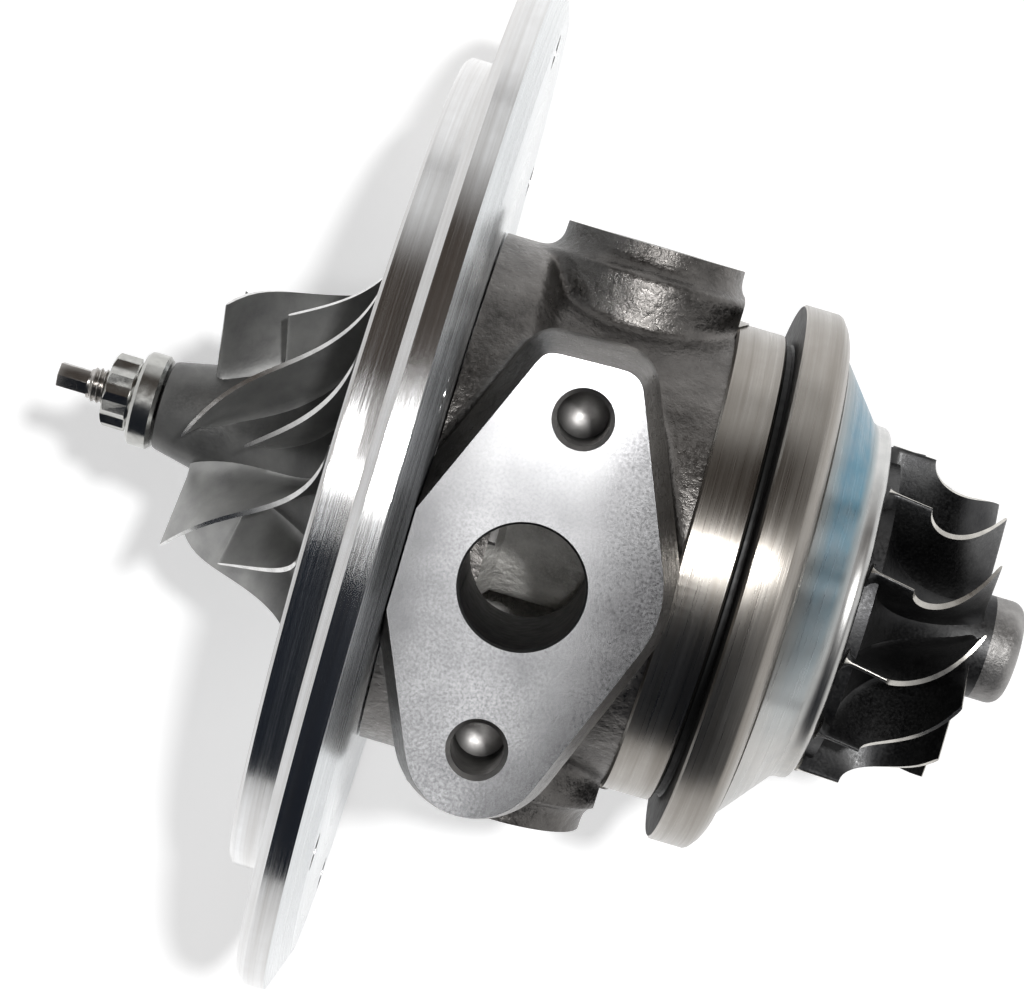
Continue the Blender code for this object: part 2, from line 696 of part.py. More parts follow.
def thrust_drain_slot():
    """The window that lets the thrust bearing's oil into the drain chamber."""
    half_width = 0.0045
    bottom = COLLAR_FLANGE_RADIUS - RUNNING_GAP
    top = THRUST_PLATE_RADIUS - FIT_GAP
    outline = [(-half_width, bottom), (half_width, bottom),
               (half_width, top), (-half_width, top)]
    end = DRAIN_CHAMBER_START + 0.001
    return as_cutter(prism("thrust_drain_slot", outline, THRUST_FLOOR_X - FIT_GAP, end))


def make_bearing_housing():
    housing = housing_outside()
    bosses = [side_boss("coolant_boss", PORT_X, (0, side, 0), PORT_REACH,
                        PORT_BOSS_RADIUS, PORT_BOSS_FILLET) for side in (-1, 1)]
    bosses.append(side_boss("inlet_boss", INLET_X, (0, 0, -1), INLET_REACH,
                            INLET_BOSS_RADIUS, PORT_BOSS_FILLET / 2))
    join(housing, *bosses, drain_pad())
    cut(housing, machining_pass(), facing_cut(), main_bore(), drain_chamber(), drain_bore())
    cut(housing, *drain_bolt_holes(), *coolant_bores(), *oil_inlet_bores())
    cut(housing, *thrust_pin_holes(), *screw_tapped_holes(), thrust_drain_slot())
    return shade(bake(housing))


def make_compressor_backplate():
    """The two-step disc behind the compressor wheel, bored for the seal spacer."""
    rear = BACKPLATE_REAR_X
    front = BACKPLATE_FRONT_X
    floor = RECESS_FLOOR_X
    groove_half = O_RING_WIRE_RADIUS + FIT_GAP
    groove_floor = rear - 2 * O_RING_WIRE_RADIUS - FIT_GAP
    pocket_radius = THRUST_PLATE_RADIUS + FIT_GAP
    profile = [
        (rear, REAR_FACE_RADIUS),
        (rear - REAR_TAPER_WIDTH, BACKPLATE_RADIUS),
        (STEP_X + STEP_CHAMFER, BACKPLATE_RADIUS),
        (STEP_X, BACKPLATE_RADIUS - STEP_CHAMFER),
        (STEP_X, STEP_FACE_RADIUS),
        (STEP_X + STEP_GROOVE_DEPTH, STEP_FACE_RADIUS),
        (STEP_X + STEP_GROOVE_DEPTH, FRONT_LAND_RADIUS),
        (front + FRONT_CHAMFER, FRONT_LAND_RADIUS),
        (front, FRONT_LAND_RADIUS - FRONT_CHAMFER),
        (front, WHEEL_RECESS_RADIUS),
        (floor, WHEEL_RECESS_RADIUS),
        (floor, BACKPLATE_BORE_RADIUS),
        (DEFLECTOR_POCKET_X, BACKPLATE_BORE_RADIUS),
        (DEFLECTOR_POCKET_X, pocket_radius),
        (rear, pocket_radius),
        (rear, O_RING_CENTRE_RADIUS - groove_half),
        (groove_floor, O_RING_CENTRE_RADIUS - groove_half),
        (groove_floor, O_RING_CENTRE_RADIUS + groove_half),
        (rear, O_RING_CENTRE_RADIUS + groove_half),
    ]
    plate = turned("compressor_backplate", profile, DISC_STEPS, TURNED_ALUMINIUM, ring=True)
    for angle in screw_angles():
        y, z = around(SCREW_CIRCLE, angle)
        seat = SCREW_SEAT_X + FIT_GAP
        cut(plate, as_cutter(rod("counterbore", (floor - 0.001, y, z), (seat, y, z),
                                 SCREW_HEAD_RADIUS + FIT_GAP, 12)))
        cut(plate, as_cutter(rod("clearance_hole", (seat - 0.001, y, z),
                                 (rear + 0.001, y, z), SCREW_SHANK_RADIUS + FIT_GAP, 12)))
    for index in range(RIM_HOLES):
        y, z = around(RIM_HOLE_CIRCLE, RIM_HOLE_PHASE + 2 * pi * index / RIM_HOLES)
        cut(plate, as_cutter(rod("rim_hole", (rear + 0.001, y, z), (STEP_X - 0.001, y, z),
                                 RIM_HOLE_RADIUS, 12)))
    return shade(bake(plate))


def make_backplate_o_ring():
    """The rubber ring in the groove between the backplate and the housing."""
    centre = BACKPLATE_REAR_X - O_RING_WIRE_RADIUS
    profile = []
    wire_steps = 6
    for step in range(wire_steps):
        angle = 2 * pi * step / wire_steps
        profile.append((centre + O_RING_WIRE_RADIUS * cos(angle),
                        O_RING_CENTRE_RADIUS + O_RING_WIRE_RADIUS * sin(angle)))
    return shade(turned("backplate_o_ring", profile, BOSS_STEPS, RUBBER, ring=True))


def make_backplate_screws():
    screws = []
    for index, angle in enumerate(screw_angles()):
        name = f"backplate_screw_{index + 1}"
        y, z = around(SCREW_CIRCLE, angle)
        head = SCREW_HEAD_X
        profile = [
            (SCREW_SEAT_X + SCREW_LENGTH, 0.0),
            (SCREW_SEAT_X + SCREW_LENGTH, SCREW_SHANK_RADIUS),
            (SCREW_SEAT_X, SCREW_SHANK_RADIUS),
            (SCREW_SEAT_X, SCREW_HEAD_RADIUS),
            (head, SCREW_HEAD_RADIUS),
            (head, 0.0),
        ]
        screw = turned(name, profile, 12, SPRING_STEEL)
        screw.location = (0, y, z)
        outline = polygon(6, SCREW_SOCKET_RADIUS)
        socket = prism("screw_socket", outline, head - 0.001, head + SCREW_SOCKET_DEPTH)
        socket.location = (0, y, z)
        cut(screw, as_cutter(socket))
        screws.append(shade(bake(screw)))
    return screws


def polygon(sides, radius, phase=0.0):
    return [around(radius, phase + 2 * pi * index / sides) for index in range(sides)]


def make_heat_shield():
    """The stamped cone that keeps the turbine's heat off the housing."""
    start = FIT_GAP + SHIELD_WALL - SEAT_RECESS_DEPTH
    face = SHIELD_REACH
    lip_start = face - SHIELD_LIP_WIDTH
    cone_end = (lip_start - SHIELD_FILLET * 0.3, SHIELD_LIP_RADIUS + SHIELD_FILLET * 0.5)
    surface = [
        (start, SHIELD_RIM_RADIUS),
        (start + SHIELD_RIM_ROUND * 0.3, SHIELD_RIM_RADIUS - SHIELD_RIM_ROUND),
        cone_end,
        (lip_start + SHIELD_FILLET * 0.3, SHIELD_LIP_RADIUS),
        (face - SHIELD_ROUND, SHIELD_LIP_RADIUS),
        (face, SHIELD_LIP_RADIUS - SHIELD_ROUND),
        (face, SHIELD_HOLE_RADIUS),
    ]
    surface.reverse()
    shield = turned("heat_shield", surface, BODY_STEPS, SHIELD_STEEL)
    wall = shield.modifiers.new("wall", 'SOLIDIFY')
    wall.thickness = SHIELD_WALL
    wall.offset = -1.0
    return shade(bake(shield))


def make_shaft(parent):
    """Seal boss, two journals with a relief between them, wheel seat, thread and drive end."""
    groove_half = SEAL_GROOVE_WIDTH / 2
    relief_start = TURBINE_BEARING_X - BEARING_LENGTH / 2 - RING_WIDTH - 3 * FIT_GAP
    relief_end = COMPRESSOR_BEARING_X + BEARING_LENGTH / 2 + RING_WIDTH + 3 * FIT_GAP
    thread_start = NUT_BACK_X + 0.0012
    thread_end = NUT_BACK_X - THREAD_LENGTH
    blend = JOURNAL_RADIUS - RELIEF_RADIUS
    profile = [
        (TURBINE_BACK_X - FIT_GAP, 0.0),
        (TURBINE_BACK_X - FIT_GAP, SEAL_BOSS_RADIUS),
        (SEAL_GROOVE_X + groove_half, SEAL_BOSS_RADIUS),
        (SEAL_GROOVE_X + groove_half, SEAL_GROOVE_RADIUS),
        (SEAL_GROOVE_X - groove_half, SEAL_GROOVE_RADIUS),
        (SEAL_GROOVE_X - groove_half, SEAL_BOSS_RADIUS),
        (SEAL_BOSS_START, SEAL_BOSS_RADIUS),
        (SEAL_BOSS_START, JOURNAL_RADIUS),
        (relief_start, JOURNAL_RADIUS),
        (relief_start - blend, RELIEF_RADIUS),
        (relief_end + blend, RELIEF_RADIUS),
        (relief_end, JOURNAL_RADIUS),
        (SHAFT_STEP_X, JOURNAL_RADIUS),
        (SHAFT_STEP_X, SEAT_SHAFT_RADIUS),
        (thread_start, SEAT_SHAFT_RADIUS),
        (thread_start - SEAT_SHAFT_RADIUS + THREAD_RADIUS, THREAD_RADIUS),
        (thread_end + 0.0005, THREAD_RADIUS),
        (thread_end, THREAD_RADIUS - 0.0005),
        (thread_end, 0.0),
    ]
    shaft = turned("shaft", profile, SMALL_STEPS, SHAFT_STEEL, parent)
    outline = polygon(6, DRIVE_END_ACROSS / sqrt(3))
    drive_end = prism("drive_end", outline, thread_end + 0.001, thread_end - DRIVE_END_LENGTH)
    join(shaft, as_cutter(drive_end))
    return shade(bake(shaft))


def make_thrust_collar(parent):
    bore = SPACER_BORE_RADIUS
    profile = [
        (COLLAR_END_X, bore),
        (COLLAR_END_X, COLLAR_FLANGE_RADIUS - 0.0004),
        (COLLAR_END_X - 0.0004, COLLAR_FLANGE_RADIUS),
        (COLLAR_FACE_X, COLLAR_FLANGE_RADIUS),
        (COLLAR_FACE_X, COLLAR_NECK_RADIUS),
        (SPACER_FACE_X + FIT_GAP, COLLAR_NECK_RADIUS),
        (SPACER_FACE_X + FIT_GAP, bore),
    ]
    return shade(turned("thrust_collar", profile, SMALL_STEPS, SHAFT_STEEL, parent, ring=True))


def make_seal_spacer(parent):
    """The sleeve with the oil flinger and the compressor-side ring groove."""
    groove_start = DEFLECTOR_POCKET_X - SPACER_GROOVE_SETBACK
    profile = [
        (SPACER_FACE_X, SPACER_BORE_RADIUS),
        (SPACER_FACE_X, FLINGER_RADIUS),
        (FLINGER_REAR_X, FLINGER_RADIUS),
        (FLINGER_REAR_X, SPACER_RADIUS),
        (groove_start, SPACER_RADIUS),
        (groove_start, SPACER_GROOVE_RADIUS),
        (groove_start - SEAL_GROOVE_WIDTH, SPACER_GROOVE_RADIUS),
        (groove_start - SEAL_GROOVE_WIDTH, SPACER_RADIUS),
        (SPACER_END_X, SPACER_RADIUS),
        (SPACER_END_X, SPACER_BORE_RADIUS),
    ]
    return shade(turned("seal_spacer", profile, SMALL_STEPS, SHAFT_STEEL, parent, ring=True))


def make_split_ring(name, middle, width, outer, inner, mouth, material):
    """A turned ring with its mouth cut out at the top."""
    profile = tube_profile(middle + width / 2, middle - width / 2, outer, inner)
    ring = turned(name, profile, SMALL_STEPS, material, ring=True)
    reach = outer + 0.001
    spread = reach * tan(mouth / 2)
    outline = [(0.0, inner * 0.3), (-spread, reach), (spread, reach)]
    cut(ring, as_cutter(prism(f"{name}_mouth", outline, middle - width, middle + width)))
    return shade(bake(ring))


def make_seal_rings():
    """The two piston rings, which stand still in their bores while the grooves turn."""
    compressor_middle = DEFLECTOR_POCKET_X - SPACER_GROOVE_SETBACK - SEAL_GROOVE_WIDTH / 2
    seats = (
        ("compressor_seal_ring", compressor_middle, BACKPLATE_BORE_RADIUS,
         SPACER_GROOVE_RADIUS),
        ("turbine_seal_ring", SEAL_GROOVE_X, SEAL_BORE_RADIUS, SEAL_GROOVE_RADIUS),
    )
    mouth = radians(8)
    rings = []
    for name, middle, bore, groove in seats:
        rings.append(make_split_ring(name, middle, SEAL_RING_WIDTH, bore - FIT_GAP,
                                     groove + RUNNING_GAP, mouth, SPRING_STEEL))
    return rings


def make_bearing_rings():
    rings = []
    for index, station in enumerate(ring_stations()):
        rings.append(make_split_ring(f"bearing_ring_{index + 1}", station, RING_WIDTH,
                                     RING_OUTER_RADIUS, RING_INNER_RADIUS,
                                     RING_MOUTH_ANGLE, SPRING_STEEL))
    return rings


def make_journal_bearing(name, centre, parent):
    """A floating bush with a ring of oil holes through its middle."""
    half = BEARING_LENGTH / 2
    chamfer = 0.0004
    bore = JOURNAL_RADIUS + RUNNING_GAP
    profile = [
        (centre + half, bore),
        (centre + half, BEARING_OUTER_RADIUS - chamfer),
        (centre + half - chamfer, BEARING_OUTER_RADIUS),
        (centre - half + chamfer, BEARING_OUTER_RADIUS),
        (centre - half, BEARING_OUTER_RADIUS - chamfer),
        (centre - half, bore),
    ]
    bush = turned(name, profile, SMALL_STEPS, BRONZE, parent, ring=True)
    for index in range(BEARING_OIL_HOLES // 2):
        angle = 2 * pi * index / BEARING_OIL_HOLES + 0.13
        y, z = around(BEARING_OUTER_RADIUS + 0.001, angle)
        cut(bush, as_cutter(rod("bush_oil_hole", (centre, -y, -z), (centre, y, z),
                                BEARING_OIL_HOLE_RADIUS, 8)))
    return shade(bake(bush))


def make_thrust_bearing():
    """The fixed plate, with radial oil grooves between its pads on the collar side."""
    profile = tube_profile(PLATE_FRONT_X, PLATE_REAR_X, THRUST_PLATE_RADIUS,
                           COLLAR_NECK_RADIUS + RUNNING_GAP)
    plate = turned("thrust_bearing", profile, SMALL_STEPS, BRONZE, ring=True)
    groove_half = 0.0005
    depth = 0.0005
    for index in range(THRUST_PADS):
        groove = prism("pad_groove", [(-groove_half, 0.0045), (groove_half, 0.0045),
                                      (groove_half, 0.0088), (-groove_half, 0.0088)],
                       PLATE_FRONT_X - depth, PLATE_FRONT_X + depth)
        groove.rotation_euler = (2 * pi * (index + 0.5) / THRUST_PADS, 0, 0)
        cut(plate, as_cutter(groove))
    for side in (-1, 1):
        start = (PLATE_REAR_X - 0.001, side * THRUST_PIN_CIRCLE, 0)
        end = (PLATE_FRONT_X + 0.001, side * THRUST_PIN_CIRCLE, 0)
        cut(plate, as_cutter(rod("plate_pin_hole", start, end,
                                 THRUST_PIN_RADIUS + FIT_GAP, 12)))
    return shade(bake(plate))


def make_thrust_pins():
    pins = []
    for index, side in enumerate((-1, 1)):
        start = (PLATE_REAR_X, side * THRUST_PIN_CIRCLE, 0)
        end = (PLATE_REAR_X + THRUST_PIN_LENGTH, side * THRUST_PIN_CIRCLE, 0)
        pins.append(shade(rod(f"thrust_pin_{index + 1}", start, end, THRUST_PIN_RADIUS,
                              12, SPRING_STEEL)))
    return pins


def make_oil_deflector():
    """The pressed plate that keeps the flung oil off the compressor-side seal."""
    profile = [
        (DEFLECTOR_FRONT_X, DEFLECTOR_INNER_RADIUS),
        (DEFLECTOR_FRONT_X, THRUST_PLATE_RADIUS),
        (DEFLECTOR_REAR_X, THRUST_PLATE_RADIUS),
        (DEFLECTOR_REAR_X, DEFLECTOR_INNER_RADIUS),
    ]
    return shade(turned("oil_deflector", profile, SMALL_STEPS, SPRING_STEEL, ring=True))


def make_lock_nut(parent):
    """A twelve-point nut on a round flange, with a neck between them."""
    bore = THREAD_RADIUS + FIT_GAP
    back = NUT_BACK_X
    flange_end = back - NUT_FLANGE_WIDTH
    neck_end = flange_end - NUT_NECK_WIDTH
    end = neck_end - NUT_POINTS_WIDTH
    profile = [
        (back, 0.0),
        (back, NUT_FLANGE_RADIUS - NUT_CHAMFER),
        (back - NUT_CHAMFER, NUT_FLANGE_RADIUS),
        (flange_end + NUT_CHAMFER, NUT_FLANGE_RADIUS),
        (flange_end, NUT_FLANGE_RADIUS - NUT_CHAMFER),
        (flange_end, NUT_NECK_RADIUS),
        (neck_end - 0.0005, NUT_NECK_RADIUS),
        (neck_end - 0.0005, 0.0),
    ]
    nut = turned("lock_nut", profile, BOSS_STEPS, NUT_STEEL, parent)
    outline = []
    valley = NUT_POINTS_RADIUS * cos(radians(30)) / cos(radians(15))
    for index in range(12):
        outline.append(around(NUT_POINTS_RADIUS, radians(30) * index))
        outline.append(around(valley, radians(30) * index + radians(15)))
    points = prism("nut_points", outline, neck_end, end)
    envelope = [
        (neck_end + 0.001, 0.0),
        (neck_end + 0.001, NUT_POINTS_RADIUS - 0.0006),
        (neck_end - NUT_CHAMFER, NUT_POINTS_RADIUS + 0.0005),
        (end + NUT_CHAMFER, NUT_POINTS_RADIUS + 0.0003),
        (end - 0.0002, NUT_POINTS_RADIUS - 0.0009),
        (end - 0.0002, 0.0),
    ]
    boolean(points, as_cutter(turned("nut_envelope", envelope, BOSS_STEPS)), 'INTERSECT')
    join(nut, as_cutter(points))
    cut(nut, as_cutter(rod("nut_bore", (end - 0.001, 0, 0), (back + 0.001, 0, 0), bore)))
    return shade(bake(nut))


def blade_mesh(name, surface, start, stations, spans, root, tip):
    """A closed blade about a mid-surface that gives a point for each station and span.

    The thickness falls from the root to the tip, and both ends of the blade are thinner
    than its middle.
    """
    shape = bmesh.new()
    rows = []
    small = 0.001
    for index in range(stations):
        station = start + (1.0 - start) * index / (stations - 1)
        row = []
        for level in range(spans):
            span = level / (spans - 1)
            before = max(station - small, start)
            after = min(station + small, 1.0)
            along = surface(after, span) - surface(before, span)
            across = surface(station, min(span + small, 1.0)) - surface(
                station, max(span - small, 0.0))
            normal = along.cross(across).normalized()
            progress = (station - start) / (1.0 - start)
            fullness = 0.62 + 0.38 * sin(pi * min(max(progress * 1.15, 0.0), 1.0)) ** 0.6
            half = (root + (tip - root) * span) * fullness / 2
            middle = surface(station, span)
            row.append((shape.verts.new(middle + normal * half),
                        shape.verts.new(middle - normal * half)))
        rows.append(row)
    for index in range(stations - 1):
        near, far = rows[index], rows[index + 1]
        for level in range(spans - 1):
            for side in (0, 1):
                shape.faces.new((near[level][side], far[level][side],
                                 far[level + 1][side], near[level + 1][side]))
        for level in (0, spans - 1):
            shape.faces.new((near[level][0], far[level][0], far[level][1], near[level][1]))
    for row in (rows[0], rows[-1]):
        for level in range(spans - 1):
            shape.faces.new((row[level][0], row[level + 1][0],
                             row[level + 1][1], row[level][1]))
    bmesh.ops.recalc_face_normals(shape, faces=shape.faces)
    mesh = bpy.data.meshes.new(name)
    shape.to_mesh(mesh)
    shape.free()
    return as_cutter(add_object(name, mesh, None))


def wheel_point(x, radius, angle):
    y, z = around(radius, angle)
    return Vector((x, y, z))


def compressor_hub_point(turn):
    """The hub's contour from axial at the inlet to radial at the outlet."""
    x = COMPRESSOR_INLET_X + COMPRESSOR_BLADE_LENGTH * sin(turn)
    rise = COMPRESSOR_TIP_RADIUS - COMPRESSOR_INLET_HUB_RADIUS
    return x, COMPRESSOR_INLET_HUB_RADIUS + rise * (1 - cos(turn))


def compressor_shroud_point(turn):
    """The blade tips' contour, which follows the compressor housing."""
    start = COMPRESSOR_INLET_X - COMPRESSOR_INLET_LEAN
    end = COMPRESSOR_EXIT_X - COMPRESSOR_OUTLET_WIDTH
    rise = COMPRESSOR_TIP_RADIUS - COMPRESSOR_INLET_RADIUS
    return start + (end - start) * sin(turn), COMPRESSOR_INLET_RADIUS + rise * (
        1 - cos(turn)) ** 1.25


def compressor_surface(phase):
    """The mid-surface of a compressor blade, straight from hub to tip at each station."""
    def point(station, span):
        turn = station * pi / 2
        hub_x, hub_radius = compressor_hub_point(turn)
        tip_x, tip_radius = compressor_shroud_point(turn)
        height = sqrt((tip_x - hub_x) ** 2 + (tip_radius - hub_radius) ** 2)
        share = span + (span - 1) * BLADE_ROOT_SINK / height
        x = hub_x + (tip_x - hub_x) * share
        radius = hub_radius + (tip_radius - hub_radius) * share
        radius = min(radius, COMPRESSOR_TIP_RADIUS - BLADE_EDGE_SETBACK)
        sweep = COMPRESSOR_SWEEP * (1 - (1 - station) ** COMPRESSOR_SWEEP_POWER)
        return wheel_point(x, radius, phase + sweep + COMPRESSOR_WRAP * station)
    return point


def make_compressor_wheel(parent):
    """A hub with a full blade and a splitter in each pitch."""
    hub_steps = 6
    profile = [(WHEEL_BACK_X, COMPRESSOR_TIP_RADIUS)]
    for step in range(hub_steps, -1, -1):
        profile.append(compressor_hub_point(step / hub_steps * pi / 2))
    bore = SEAT_SHAFT_RADIUS + FIT_GAP
    profile += [
        (COMPRESSOR_NOSE_X + COMPRESSOR_NOSE_ROUND, COMPRESSOR_NOSE_RADIUS),
        (COMPRESSOR_NOSE_X, COMPRESSOR_NOSE_RADIUS - COMPRESSOR_NOSE_ROUND),
        (COMPRESSOR_NOSE_X, bore),
        (WHEEL_BACK_X, bore),
    ]
    wheel = turned("compressor_wheel", profile, WHEEL_STEPS, CAST_ALUMINIUM, parent, ring=True)
    pitch = 2 * pi / COMPRESSOR_BLADES
    for index in range(COMPRESSOR_BLADES):
        phase = COMPRESSOR_PHASE + index * pitch
        blade = blade_mesh("full_blade", compressor_surface(phase), 0.0, 8, 3,
                           COMPRESSOR_BLADE_ROOT, COMPRESSOR_BLADE_TIP)
        splitter = blade_mesh("splitter_blade", compressor_surface(phase + pitch / 2),
                              SPLITTER_START, 5, 3,
                              COMPRESSOR_BLADE_ROOT, COMPRESSOR_BLADE_TIP)
        join(wheel, blade, splitter)
    return shade(bake(wheel))


def turbine_surface(phase):
    """The mid-surface of a turbine blade: radial at the inlet, curved at the exit."""
    inner_radius = TURBINE_HUB_RADIUS - BLADE_ROOT_SINK

    def point(station, span):
        turn = station * pi / 2
        root_x = TURBINE_BACK_X + BLADE_EDGE_SETBACK + (
            TURBINE_EXIT_X - TURBINE_BACK_X) * (1 - cos(turn))
        root_radius = inner_radius + (TURBINE_TIP_RADIUS - inner_radius) * (1 - sin(turn))
        tip_start = TURBINE_BACK_X + TURBINE_INLET_WIDTH
        tip_end = TURBINE_EXIT_X - TURBINE_EXIT_LEAN
        tip_x = tip_start + (tip_end - tip_start) * (1 - cos(turn))
        tip_radius = TURBINE_EXIT_RADIUS + (TURBINE_TIP_RADIUS - TURBINE_EXIT_RADIUS) * (
            1 - sin(turn)) ** 1.2
        x = root_x + (tip_x - root_x) * span
        radius = root_radius + (tip_radius - root_radius) * span
        swing = TURBINE_EXIT_TURN * station ** TURBINE_EXIT_POWER
        swing -= TURBINE_DIP * sin(pi * station) + TURBINE_SLANT * span * (1 - station)
        return wheel_point(x, radius, phase + swing)
    return point


def make_turbine_wheel(parent):
    """A hub with a cut-back rear disc, curved blades and a round casting nose."""
    profile = [(TURBINE_EXIT_X + TURBINE_NOSE_LENGTH, 0.0)]
    nose_steps = 3
    for step in range(nose_steps + 1):
        angle = pi / 2 * step / nose_steps
        profile.append((TURBINE_EXIT_X + TURBINE_NOSE_LENGTH - TURBINE_NOSE_ROUND * (1 - cos(angle)),
                        TURBINE_HUB_RADIUS - TURBINE_NOSE_ROUND * (1 - sin(angle))))
    hub_steps = 5
    start_x = TURBINE_BACK_X + TURBINE_BACK_RIM
    for step in range(hub_steps + 1):
        turn = pi / 2 * (1 - step / hub_steps)
        x = start_x + (TURBINE_EXIT_X - start_x) * (1 - cos(turn))
        radius = TURBINE_HUB_RADIUS + (TURBINE_BACK_RADIUS - TURBINE_HUB_RADIUS) * (
            1 - sin(turn))
        profile.append((x, radius))
    profile += [(TURBINE_BACK_X, TURBINE_BACK_RADIUS), (TURBINE_BACK_X, 0.0)]
    wheel = turned("turbine_wheel", profile, WHEEL_STEPS, NICKEL_ALLOY, parent)
    for index in range(TURBINE_BLADES):
        phase = TURBINE_PHASE + 2 * pi * index / TURBINE_BLADES
        join(wheel, blade_mesh("turbine_blade", turbine_surface(phase), 0.0, 7, 3,
                               TURBINE_BLADE_ROOT, TURBINE_BLADE_TIP))
    return shade(bake(wheel))


def make_axis(name):
    """An empty on the shaft's axis, which the turning pieces hang from."""
    axis = bpy.data.objects.new(name, None)
    PARTS.objects.link(axis)
    axis.empty_display_size = 0.01
    return axis


def build():
    make_bearing_housing()
    make_compressor_backplate()
    make_backplate_o_ring()
    make_backplate_screws()
    make_heat_shield()
    make_thrust_bearing()
    make_thrust_pins()
    make_oil_deflector()
    make_bearing_rings()
    make_seal_rings()
    rotor = make_axis("rotor_axis")
    make_shaft(rotor)
    make_turbine_wheel(rotor)
    make_compressor_wheel(rotor)
    make_lock_nut(rotor)
    make_thrust_collar(rotor)
    make_seal_spacer(rotor)
    for name, centre in (("compressor", COMPRESSOR_BEARING_X), ("turbine", TURBINE_BEARING_X)):
        make_journal_bearing(f"journal_bearing_{name}", centre, make_axis(f"{name}_bearing_axis"))


build()
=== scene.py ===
"""Looks for the turbocharger cartridge: fine surfaces, materials, floor, light and camera.

Units are metres in the part's own frame. The shaft lies along X, with the turbine wheel at
+X, and the oil drain face looks up along +Z.
"""
from math import cos, hypot, pi, radians, sin, sqrt, tan

import bmesh
import bpy
from mathutils import Matrix, Vector


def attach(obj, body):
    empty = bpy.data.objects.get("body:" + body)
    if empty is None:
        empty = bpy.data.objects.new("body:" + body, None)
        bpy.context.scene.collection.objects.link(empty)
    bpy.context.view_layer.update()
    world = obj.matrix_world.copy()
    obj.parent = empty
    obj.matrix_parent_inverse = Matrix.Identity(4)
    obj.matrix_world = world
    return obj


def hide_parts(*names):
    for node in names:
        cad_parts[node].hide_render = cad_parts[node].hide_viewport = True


# Clearances of the part
FIT_GAP = 0.0003
RUNNING_GAP = 0.00035

# Housing
SEAT_INNER_RADIUS = 0.0351
SEAT_OUTER_RADIUS = 0.0366
SEAT_RECESS_DEPTH = 0.0008
FLANGE_RADIUS = 0.0395
FLANGE_WIDTH = 0.0071
FLANGE_TAPER = 0.0018
GROOVE_RADIUS = 0.0332
GROOVE_WIDTH = 0.0013
LAND_RADIUS = 0.0344
LAND_WIDTH = 0.0072
LAND_END_X = -FLANGE_WIDTH - GROOVE_WIDTH
LAND_START_X = LAND_END_X - LAND_WIDTH
JOINT_X = -0.0502
BODY_RADIUS = 0.0336
SHOULDER_RADIUS = 0.0373
SHOULDER_WIDTH = 0.0070
SHOULDER_SLOPE = 0.0032
NOSE_LENGTH = 0.0072
NOSE_TIP_RADIUS = 0.0190
NOSE_ROOT_RADIUS = 0.0268
SEAL_BORE_RADIUS = 0.00875
BEARING_BORE_RADIUS = 0.00785
BEARING_BORE_END = -0.0027
COLLAR_RECESS_RADIUS = 0.00985
COLLAR_RECESS_X = -0.0414
THRUST_RECESS_RADIUS = 0.0168
THRUST_FLOOR_X = -0.0443
RING_GROOVE_RADIUS = 0.00895
RING_GROOVE_HALF = 0.0008
RING_STATIONS = (-0.0044, -0.0146, -0.0294, -0.0396)
CHAMBER_START = -0.0405
CHAMBER_END = -0.0135
CHAMBER_INNER_RADIUS = 0.0122
CHAMBER_OUTER_RADIUS = 0.0235
OIL_WEB_HALF_WIDTH = 0.0045

# Drain pad
PAD_X = -0.0338
PAD_Y = -0.0035
PAD_HEIGHT = 0.0520
PAD_CORNERS = (
    (-0.0064, 0.0289, 0.0020),
    (0.0059, 0.0294, 0.0029),
    (0.0178, 0.0010, 0.0140),
    (-0.0002, -0.0453, 0.0089),
    (-0.0193, -0.0015, 0.0160),
)
PAD_DRAFT = 0.0023
PAD_DRAFT_HEIGHT = 0.0110
PAD_NECK_Z = 0.0290
PAD_ROOT_Z = 0.0120
PAD_ROOT_SHARE = 0.82
DRAIN_BORE_RADIUS = 0.0080
DRAIN_BORE_SHIFT = (-0.00085, -0.0005)
DRAIN_BOLT_PITCH = 0.0439
DRAIN_BOLT_RADIUS = 0.0034
DRAIN_BOLT_DEPTH = 0.0140
DRAIN_BOLT_TURN = radians(1.3)

# Bosses
PORT_X = -0.0295
PORT_REACH = 0.0415
PORT_BOSS_RADIUS = 0.0130
PORT_FILLET = 0.0026
PORT_BORE_RADIUS = 0.0062
PORT_BORE_DEPTH = 0.0130
INLET_X = -0.0215
INLET_REACH = 0.0405
INLET_BOSS_RADIUS = 0.0105
INLET_BORE_RADIUS = 0.0046
INLET_BORE_DEPTH = 0.0130
PORT_CHAMFER = 0.0009
STOCK = 0.0012

# Backplate
PLATE_REAR_X = -0.0505
PLATE_STEP_X = -0.0569
PLATE_FRONT_X = -0.0623
PLATE_FLOOR_X = -0.0596
PLATE_RADIUS = 0.0748
PLATE_REAR_RADIUS = 0.0688
PLATE_TAPER_WIDTH = 0.0021
PLATE_FRONT_RADIUS = 0.0594
PLATE_GROOVE_RADIUS = 0.0606
PLATE_GROOVE_DEPTH = 0.0010
PLATE_STEP_CHAMFER = 0.0014
PLATE_BORE_RADIUS = 0.00865
PLATE_RECESS_RADIUS = 0.0312
PLATE_POCKET_RADIUS = 0.0168
PLATE_POCKET_X = -0.0508
O_RING_RADIUS = 0.0317
O_RING_HALF = 0.0013
RIM_HOLE_CIRCLE = 0.0647
RIM_HOLE_RADIUS = 0.0025
RIM_HOLE_PHASE = radians(-44.4)
SCREW_CIRCLE = 0.0262

# Heat shield
SHIELD_WALL = 0.0009
SHIELD_RIM_RADIUS = 0.0348
SHIELD_LIP_RADIUS = 0.0260
SHIELD_FACE_X = 0.0096
SHIELD_LIP_WIDTH = 0.0025
SHIELD_HOLE_RADIUS = 0.0093

